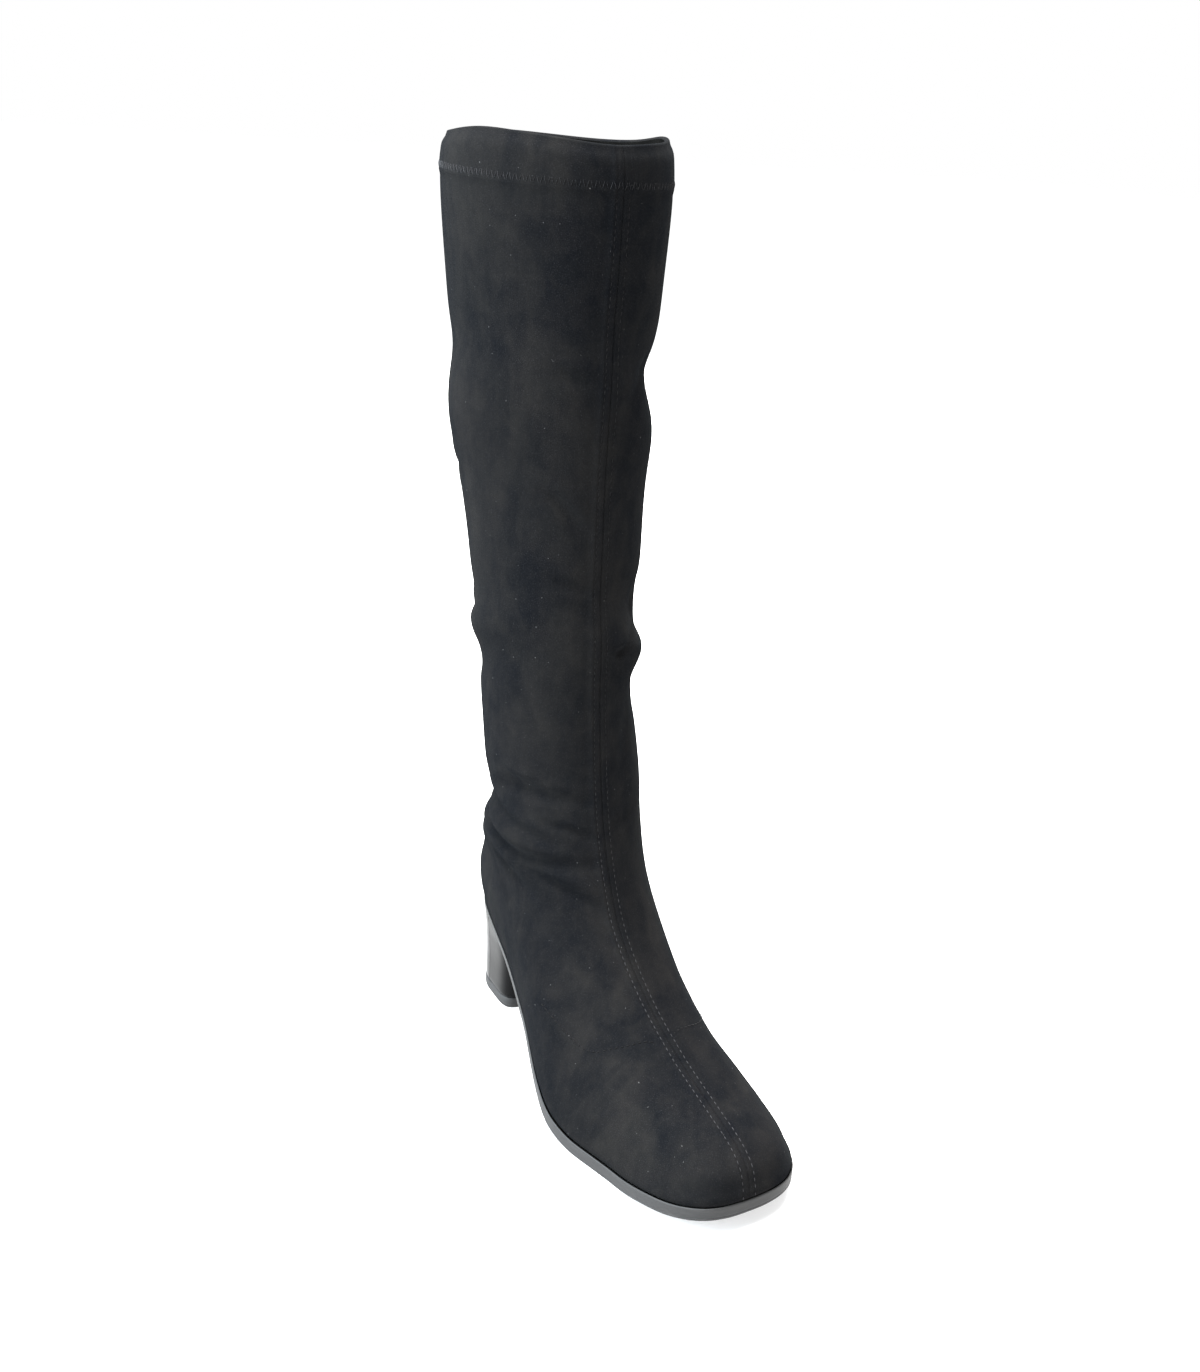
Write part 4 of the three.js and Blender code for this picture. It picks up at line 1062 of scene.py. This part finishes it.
def on_wall(path, count=80):
    """The grid's nearest sections and angles to a path of points, smoothed by a cubic through them."""
    t = np.linspace(0, len(path) - 1, count)
    i = np.clip(np.floor(t).astype(int), 0, len(path) - 2)
    ends = np.vstack([2 * path[0] - path[1], path, 2 * path[-1] - path[-2]])
    dense = blend4(ends[i], ends[i + 1], ends[i + 2], ends[i + 3], (t - i)[:, None])
    flat = wall.reshape(-1, 3)
    nearest = np.array([((flat - p) ** 2).sum(1).argmin() for p in dense])
    v = levels[nearest // column_count]
    a = angles.reshape(-1)[nearest]
    a = np.where(a > np.pi, a - 2 * np.pi, a)
    kernel = np.ones(9) / 9
    padded = [np.concatenate([np.full(4, x[0]), x, np.full(4, x[-1])]) for x in (v, a)]
    return (np.convolve(x, kernel, "valid") for x in padded)


def vamp_rows():
    """Bars along both halves of the vamp's curved row."""
    bars = []
    for path in (VAMP_LATERAL, VAMP_MEDIAL):
        v, a = resample(*on_wall(path), VAMP_PITCH)
        middle = off_wall(v, a, foot_roll(wall_point(v, a)) + VAMP_OUT)
        bars.append(stitches(middle, wall_normal(v, a), **VAMP_BAR))
    return np.concatenate(bars)


vamp_bars = vamp_rows()
# The vamp's thread carries painted shade of sunk stitch holes.
add_piece("vamp_stitches", vamp_bars, ring_faces(vamp_bars.shape), SUNK_SHADE_THREAD, "suede")

# %% [markdown]
# The hem is held by a fine zigzag just above its step. The same bars are laid round it side by side, and
# each is sheared up or down in turn, so that their ends nearly meet.

# %% Hem zigzag
HEM_PITCH = 1.6
HEM_BAR = {"length": 0.9, "radius": 0.19, "lift": 0.24}
HEM_CLIMB = 1.5
HEM_ROW_UP = 0.075
HEM_SAMPLES = 900
OVER_SEAM = 0.06


def hem_zigzag():
    """Bars that climb and fall in turn round the hem, by s times the climb along each."""
    around = np.linspace(0, 2 * np.pi, HEM_SAMPLES)
    v = np.full(HEM_SAMPLES, HEM_TOP + HEM_ROW_UP)
    v, a = resample(v, around, HEM_PITCH)
    rise = np.where(np.arange(len(v)) % 2, 1.0, -1.0)
    middle = off_wall(v, a, HEM_STEP + np.where(np.abs(np.sin(a / 2)) < OVER_SEAM, SEAM_STEP, 0))
    normal = wall_normal(v, a)
    bars = stitches(middle, normal, **HEM_BAR)
    up = np.cross(normal, unit(np.gradient(middle, axis=0)))
    return bars + (up * rise[:, None])[:, None, None] * (BAR_STEPS * -HEM_CLIMB)[None, :, None, None]


hem_bars = hem_zigzag()
add_piece("hem_stitches", hem_bars, ring_faces(hem_bars.shape), HEM_THREAD, "suede")

# %% [markdown]
# The zip is sewn in by one row down each side of its slot. The bars lie in the line that the thread
# pulled into the suede, so they sit lower than the others.

# %% Rows beside the zip
ZIP_ROW_PITCH = 2.6
ZIP_BAR = {"length": 2.0, "radius": 0.2, "lift": 0.16}
ZIP_ROW_SUNK = 0.16


def zip_rows():
    """Bars on both sides of the slot, at the row's distance from its edges."""
    bars = []
    v = np.linspace(SLOT_ENDS[0] - 0.02, SLOT_ENDS[1] + 0.04, 300)
    for side in (-1, 1):
        a = angle_away(v, zip_angle(v), np.full(300, side * (SLOT_WIDTH / 2 + ZIP_ROW_AT)))
        at, turn = resample(v, a, ZIP_ROW_PITCH)
        middle = off_wall(at, turn, np.full(len(at), -ZIP_ROW_SUNK))
        bars.append(stitches(middle, wall_normal(at, turn), **ZIP_BAR))
    return np.concatenate(bars)


zip_bars = zip_rows()
add_piece("zip_stitches", zip_bars, ring_faces(zip_bars.shape), THREAD, "suede")

# %% [markdown]
# The coil of a zip is a nylon wire wound so that its loops hook into one another. From outside it shows
# as two close rows of small grey beads. Each bead is a short rounded bar across the line, left and right
# in turn.

# %% Zip coil
TAPE_SUNK = 0.5
COIL_WIDTH = 3.2
COIL_PITCH = 1.25
STOP_LENGTH = 2.4
SLIDER_LENGTH = 9
BEAD_STEPS = np.array([-1.0, -0.6, 0.0, 0.6, 1.0])
BEAD_SIDES = 8
BEAD_ASIDE = 0.22
BEAD_OUT = 0.45
BEAD_HALF_LONG, BEAD_HALF_WIDE, BEAD_HALF_TALL = 0.85, 0.48, 0.55
SLIDER_LOW = ZIP_TOP - 2 * GAP - STOP_LENGTH - SLIDER_LENGTH


def nylon():
    """Grey nylon with a satin shine, mottled a little."""
    m = Nodes("zip nylon", Roughness=0.45, Specular_IOR_Level=0.3)
    color = m.mix(m.noise(500, 2.0), (0.06, 0.062, 0.067, 1), (0.14, 0.144, 0.152, 1))
    return m.link(Base_Color=color, Normal=m.bump(m.noise(3000, 1.0), 0.00003, 0.4))


NYLON = nylon()


def coil_beads():
    """Bars across the zip's line, longer than wide, one row half a pitch after the other."""
    heights = np.arange(ZIP_BOTTOM + 2 * GAP + STOP_LENGTH + 0.6, SLIDER_LOW - 0.8, COIL_PITCH / 2)
    v = section_at_zip(heights)
    side = np.where(np.arange(len(v)) % 2, 1.0, -1.0)
    a = zip_angle(v)
    centre = angle_away(v, a, side * COIL_WIDTH * BEAD_ASIDE)
    middle = off_wall(v, centre, np.full(len(v), -TAPE_SUNK + GAP + BEAD_OUT))
    normal = wall_normal(v, centre)
    lengthwise = unit(np.gradient(off_wall(v, a, np.zeros(len(v))), axis=0))
    across = unit(np.cross(lengthwise, normal))
    turn = np.linspace(0, 2 * np.pi, BEAD_SIDES, endpoint=False)
    ring = np.sqrt(1 - 0.75 * BEAD_STEPS ** 2)
    spine = middle[:, None] + across[:, None] * (BEAD_STEPS * BEAD_HALF_LONG)[None, :, None]
    offset = lengthwise[:, None, None] * np.cos(turn)[None, None, :, None] * BEAD_HALF_WIDE \
        + normal[:, None, None] * np.sin(turn)[None, None, :, None] * BEAD_HALF_TALL
    return spine[:, :, None] + offset * ring[None, :, None, None]


beads = coil_beads()
coil_piece = add_piece("zip_coil_loops", beads, ring_faces(beads.shape), NYLON, "zip_coil")
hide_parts("zip_coil")

# %% [markdown]
# The outsole is a moulded unit. Its edge is a plain band with a faint parting line, so it is a profile
# carried round the feather line. The profile's rows are a share of the thickness down and a share of the
# lip outwards.

# %% Outsole's edge
LIP = 2.2
SOLE_EDGE = table("drop out", [
    [0.00, -0.22], [0.015, -0.08], [0.05, -0.015], [0.11, 0.0], [0.3, 0.0], [0.6, 0.0], [0.72, -0.01],
    [0.745, -0.05], [0.76, -0.07], [0.775, -0.05], [0.8, -0.01], [0.88, 0.0], [0.93, -0.04], [0.975, -0.14],
    [1.0, -0.3],
])
SOLE_POINTS = 360


def feather_angles(count):
    """Medial angles spaced along the foot, and the lateral angles that lie straight across from them."""
    toe_lat, toe_med, heel = SECTIONS[0, 5:8]
    inner = even_between(np.zeros(1), np.zeros(1), np.full(1, np.pi), count // 2 - 1)[0]
    c = np.cos(inner)
    place = signed_power(c, 2 / np.where(c > 0, toe_med, heel))
    outer = 2 * np.pi - np.arccos(np.clip(signed_power(place, np.where(c > 0, toe_lat, heel) / 2), -1, 1))
    return np.concatenate([[0], inner, [np.pi], outer[::-1]])


FEATHER = feather_angles(SOLE_POINTS)
feather_points = last_point(0.0, FEATHER)
feather_out = level_normal(0.0, FEATHER)


def sole_loop(drop, out):
    """The feather line moved out by the lip, at a share of the thickness down from the sole's top."""
    y = feather_points[:, 1]
    reach = LIP * (sole_at(y, "lip") + out * sole_at(y, "thick"))
    loop = feather_points + feather_out * reach[:, None]
    loop[:, 2] = sole_top(loop[:, 1]) + drop * (sole_under(loop[:, 1]) - sole_top(loop[:, 1]))
    return loop


print("outline of the underside", np.round(np.ptp(sole_loop(1.0, 0.0), axis=0), 1), "mm")

# %% [markdown]
# The underside has shallow ribs across the tread and a hollow under the arch. It is a grid of straight
# rungs from one side to the other, so the ribs run straight across, and the grids are welded to the edge.

# %% Outsole
RIB_PITCH, RIB_DEEP = 4.2, 0.6
RIBS_FROM, RIBS_TO = (118, 121), (232, 235)
ARCH_DEEP = 0.8
ARCH_FROM, ARCH_TO = (62, 80), (100, 114)
TOP_RUNGS, UNDER_RUNGS = 12, 48


def rungs(loop, count):
    """A grid from the medial half of a loop straight across to its lateral half."""
    half = SOLE_POINTS // 2
    medial = loop[:half + 1]
    lateral = np.concatenate([loop[:1], loop[:half - 1:-1]])
    t = np.linspace(0, 1, count)[None, :, None]
    return medial[:, None] * (1 - t) + lateral[:, None] * t


def tread(grid):
    """Lifts the underside between ribs across the forefoot and under the arch, with a plain border."""
    y = grid[..., 1]
    ribs = smooth(np.cos(2 * np.pi * y / RIB_PITCH), -0.1, 0.5)
    t = np.linspace(0, 1, grid.shape[1])[None]
    inside = smooth(np.minimum(t, 1 - t), 0.04, 0.07) * smooth(-y, *RIBS_FROM) * (1 - smooth(-y, *RIBS_TO))
    arch = smooth(np.minimum(t, 1 - t), 0.07, 0.16) * smooth(-y, *ARCH_FROM) * (1 - smooth(-y, *ARCH_TO))
    grid[..., 2] = sole_under(y) + RIB_DEEP * (1 - ribs) * inside + ARCH_DEEP * arch
    return grid


def outsole_mesh():
    """The edge's loops from the top down, with a grid of rungs over and under them."""
    loops = np.array([sole_loop(d, o) for d, o in zip(SOLE_EDGE["drop"], SOLE_EDGE["out"])])
    top = rungs(loops[0], TOP_RUNGS)
    top[..., 2] = sole_top(top[..., 1])
    under = tread(rungs(loops[-1], UNDER_RUNGS))
    side = grid_faces(len(loops), SOLE_POINTS)[:, ::-1]
    first = loops.size // 3
    over = grid_faces(top.shape[0], TOP_RUNGS, closed=False) + first
    below = grid_faces(under.shape[0], UNDER_RUNGS, closed=False)[:, ::-1] + first + top.size // 3
    points = np.concatenate([loops.reshape(-1, 3), top.reshape(-1, 3), under.reshape(-1, 3)])
    return points, np.concatenate([side, over, below])


def sole_material():
    """Matt moulded rubber: fine pores, and soft scuffs that are paler and rougher."""
    m = Nodes("matt sole rubber", Specular_IOR_Level=0.25)
    pores = m.noise(1800, 3.0, 0.65)
    scuffs = m.between(m.noise(1.0, 4.0, 0.6, m.stretched((90, 90, 500)), 0.5), 0.5, 0.75)
    color = m.mix(scuffs, (0.02, 0.02, 0.0205, 1), (0.034, 0.033, 0.0325, 1))
    rough = m.between(scuffs, 0, 1, 0.58, 0.72)
    return m.link(Base_Color=color, Roughness=rough, Normal=m.bump(pores, 0.00006, 0.6))


SOLE = sole_material()
sole_points, sole_faces = outsole_mesh()


def welded(piece, distance=0.00001):
    """Merges points that lie on each other, so that the grids meet without a gap."""
    work = bmesh.new()
    work.from_mesh(piece.data)
    bmesh.ops.remove_doubles(work, verts=work.verts, dist=distance)
    bmesh.ops.dissolve_degenerate(work, edges=work.edges, dist=distance)
    work.to_mesh(piece.data)
    work.free()
    return piece


outsole_piece = welded(add_piece("outsole_moulded", sole_points, sole_faces, SOLE, "sole_rubber"))
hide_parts("outsole")

# %% [markdown]
# The heel is a block with a flat front and a round back, on a thin rubber tip. Its outline is a
# superellipse, nearly square in front and nearly round behind. The rows give its width, length and the
# set-back of its front from the floor upwards.

# %% Outline of the heel
HEEL_WIDTH = 46
HEEL_LENGTH = 47
HEEL_BACK = 0.008
HEEL_SQUARE, HEEL_ROUND = 6, 2.1
CORNER_CROWD = 0.32
HEEL_SECTIONS = table("at wide long breast", [
    [0.00, 0.92, 0.97, 0.00],
    [0.30, 0.92, 0.96, 0.01],
    [0.65, 0.95, 0.97, 0.01],
    [0.90, 1.00, 1.00, 0.00],
    [1.00, 1.01, 1.01, 0.00],
])
HEEL_POINTS = 160


def heel_loop(at, inset):
    """A superellipse with one power in front and another behind, its points crowded at the front corners."""
    wide, long, breast = (along(HEEL_SECTIONS, c, at) for c in ("wide", "long", "breast"))
    half_long, half_wide = HEEL_LENGTH * long / 2 - inset, HEEL_WIDTH * wide / 2 - inset
    middle = -FOOT_LENGTH * HEEL_BACK - HEEL_LENGTH / 2 + HEEL_LENGTH * breast / 2
    a = np.linspace(0, 2 * np.pi, HEEL_POINTS, endpoint=False)
    corner = np.mod(a + np.pi / 2, np.pi) - np.pi / 2
    a = a - CORNER_CROWD * np.sin(4 * corner) * (np.cos(a) > 0)
    power = np.where(np.cos(a) > 0, 2 / HEEL_SQUARE, 2 / HEEL_ROUND)
    x = half_wide * signed_power(np.sin(a), power)
    return np.stack([x, middle - half_long * signed_power(np.cos(a), power), np.zeros_like(x)], -1)


print("heel at the floor", np.round(np.ptp(heel_loop(0.0, 0.0), axis=0)[:2], 1), "mm")

# %% [markdown]
# A lacquered block has no sharp edge. The same loop with smaller and smaller insets rounds its edges,
# where a bevel would also catch the fine points of its outline. The tip's rings end in a plug under the
# block.

# %% Heel and tip
TIP_THICK = 6
FOOT_ROUND = [(0, 0.7), (0.004, 0.35), (0.014, 0.08), (0.03, 0)]
HEAD_ROUND = [(0.99, 0.05), (0.997, 0.2), (1.0, 0.5)]
TIP_PROFILE = [(0, 0.8), (0.15, 0.35), (0.45, 0.1), (0.8, 0), (3, 0), (TIP_THICK - 0.3, 0),
               (TIP_THICK, 0.25), (TIP_THICK, 1.2), (TIP_THICK + GAP + 0.1, 1.2)]


def stack_mesh(loops):
    """Rings joined by quads, with a half-sized ring and one flat face inside it to close each end."""
    rings = np.array(loops)
    shrunk = [rings[0].copy(), rings[-1].copy()]
    for ring in shrunk:
        centre = ring.mean(0)
        ring[:, :2] = centre[:2] + (ring[:, :2] - centre[:2]) * 0.5
    rings = np.concatenate([shrunk[0][None], rings, shrunk[1][None]])
    count = rings.shape[1]
    quads = grid_faces(len(rings), count).tolist()
    ends = [list(range(count - 1, -1, -1)), list(range((len(rings) - 1) * count, len(rings) * count))]
    return rings.reshape(-1, 3), quads + ends


def heel_rings():
    """Rings up the block with small rounded edges at both ends, its top following the sole."""
    rings = []
    for up, inset in FOOT_ROUND + [(u, 0) for u in np.linspace(0.08, 0.97, 24)] + HEAD_ROUND:
        loop = heel_loop(up, inset)
        top = sole_under(loop[:, 1]) - GAP
        loop[:, 2] = TIP_THICK + GAP + (top - TIP_THICK - GAP) * up
        rings.append(loop)
    return rings


def tip_rings():
    """Rings up the rubber tip, with a worn round at the floor and a plug that meets the block."""
    rings = []
    for z, inset in TIP_PROFILE:
        loop = heel_loop(0.0, inset)
        loop[:, 2] = z
        rings.append(loop)
    return rings


def lacquer():
    """Deep gloss with a hint of orange peel and faint rubbed marks."""
    m = Nodes("black heel lacquer", Coat_Weight=0.01, Coat_Roughness=0.08, Specular_IOR_Level=0.06)
    peel = m.noise(220, 2.0, 0.5)
    rubbed = m.between(m.noise(1.0, 5.0, 0.6, m.stretched((60, 60, 20)), 0.4), 0.5, 0.8)
    color = m.mix(rubbed, (0.003, 0.003, 0.0033, 1), (0.008, 0.008, 0.008, 1))
    return m.link(Base_Color=color, Roughness=m.between(rubbed, 0, 1, 0.12, 0.24),
                  Normal=m.bump(peel, 0.00004, 0.5))


LACQUER = lacquer()
heel_piece = add_piece("heel_block", *stack_mesh(heel_rings()), LACQUER, "heel_gloss")
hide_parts("heel")
tip_piece = add_piece("heel_top_piece", *stack_mesh(tip_rings()), SOLE, "tip_rubber")
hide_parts("heel_tip")

# %% [markdown]
# The zip's tapes, stops, slider and pull keep their solids, which already have the right shape. They only
# need finishes: a woven tape, and a black nickel plating with paler and smoother patches where it is
# rubbed.

# %% Finishes for the solids that stay


def tape_material():
    """Plain weave from two crossed waves, on near-black polyester."""
    m = Nodes("zip tape", Roughness=0.75, Specular_IOR_Level=0.3)
    warp = m.add("ShaderNodeTexWave", {"Vector": m.coords, "Scale": 420.0, "Distortion": 0.2},
                 bands_direction="Z").outputs["Fac"]
    weft = m.add("ShaderNodeTexWave", {"Vector": m.coords, "Scale": 420.0, "Distortion": 0.2},
                 bands_direction="Y").outputs["Fac"]
    weave = m.math("MULTIPLY", warp, weft)
    color = m.mix(weave, (0.006, 0.006, 0.007, 1), (0.022, 0.022, 0.024, 1))
    return m.link(Base_Color=color, Normal=m.bump(weave, 0.0001, 0.8))


def black_nickel():
    """Dark polished plating with fine scratches and a lighter rub."""
    m = Nodes("black nickel", Metallic=1.0)
    scratch = m.noise(1.0, 4.0, 0.7, m.stretched((4000, 4000, 300)))
    rub = m.between(m.noise(180, 3.0), 0.4, 0.7)
    color = m.mix(rub, (0.018, 0.018, 0.02, 1), (0.042, 0.042, 0.045, 1))
    return m.link(Base_Color=color, Roughness=m.between(rub, 0, 1, 0.3, 0.24),
                  Normal=m.bump(scratch, 0.00001, 0.3))


TAPE = tape_material()
NICKEL = black_nickel()


def finish_node(name, material):
    """Takes a solid's plain material off and puts its finish on."""
    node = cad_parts[name]
    node.data.materials.clear()
    node.data.materials.append(material)


FINISHES = [
    (TAPE, ["zip_tape_front", "zip_tape_back"]),
    (NICKEL, ["zip_slider", "zip_pull", "zip_top_stop", "zip_bottom_stop"]),
    (LINING, ["insole"]),
]
for material, names in FINISHES:
    for name in names:
        finish_node(name, material)
print("finished solids:", sum(len(names) for _, names in FINISHES))

# %% [markdown]
# The stage is a large pale floor under a white sky, as in a product picture. The floor gives off a little
# light of its own, which keeps it near white where the boot shades it.

# %% Floor and sky
FLOOR_HALF = 12
FLOOR_GLOW = 0.64
SKY = 1.0


def floor_material():
    """Pale matt board with the faintest clouding, and a glow."""
    m = Nodes("pale floor", Roughness=0.9, Specular_IOR_Level=0.1, Emission_Color=(1, 1, 1, 1),
              Emission_Strength=FLOOR_GLOW)
    color = m.mix(m.noise(40, 2.0), (0.39, 0.39, 0.39, 1), (0.41, 0.41, 0.41, 1))
    return m.link(Base_Color=color)


def stage_floor(half):
    """One square on the floor's plane."""
    mesh = bpy.data.meshes.new("floor")
    corners = [(-half, -half, 0), (half, -half, 0), (half, half, 0), (-half, half, 0)]
    mesh.from_pydata(corners, [], [(0, 1, 2, 3)])
    mesh.materials.append(floor_material())
    floor = bpy.data.objects.new("floor", mesh)
    bpy.context.scene.collection.objects.link(floor)


bpy.context.scene.view_settings.view_transform = "Standard"
stage_floor(FLOOR_HALF)
world = bpy.data.worlds.new("studio")
bpy.context.scene.world = world
world.use_nodes = True
background = world.node_tree.nodes["Background"]
background.inputs["Color"].default_value = (1, 1, 1, 1)
background.inputs["Strength"].default_value = SKY
print("floor", 2 * FLOOR_HALF, "m across, sky at", SKY)

# %% [markdown]
# Wide soft lights shine from above, from the outer side and from behind on the inner side. The one above
# stands towards the outer side, so the leg grows darker from left to right, and the cool one beside it
# draws the edge.

# %% Lights
LIGHT_SIZE = 1.2
LEG_MIDDLE = (0, 0, 0.25)


def soft_light(name, place, target, size, power, color=(1, 1, 1)):
    """A square area light that looks from its place to a target."""
    data = bpy.data.lights.new(name, "AREA")
    data.shape = "SQUARE"
    data.size = size
    data.energy = power
    data.color = color
    light = bpy.data.objects.new(name, data)
    bpy.context.scene.collection.objects.link(light)
    light.location = place
    light.rotation_euler = (Vector(target) - Vector(place)).to_track_quat("-Z", "Y").to_euler()


soft_light("overhead", (-0.35, 0.05, 2.0), (0, -0.05, 0.15), LIGHT_SIZE, 225, (1.0, 0.99, 0.97))
soft_light("left", (-1.8, 0.35, 0.9), LEG_MIDDLE, LIGHT_SIZE, 120, (0.76, 0.9, 1.0))
soft_light("behind", (1.15, 1.65, 0.9), LEG_MIDDLE, LIGHT_SIZE, 110)
print("lights:", [light.name for light in bpy.data.lights])

# %% [markdown]

# %% Finish


print("finished")
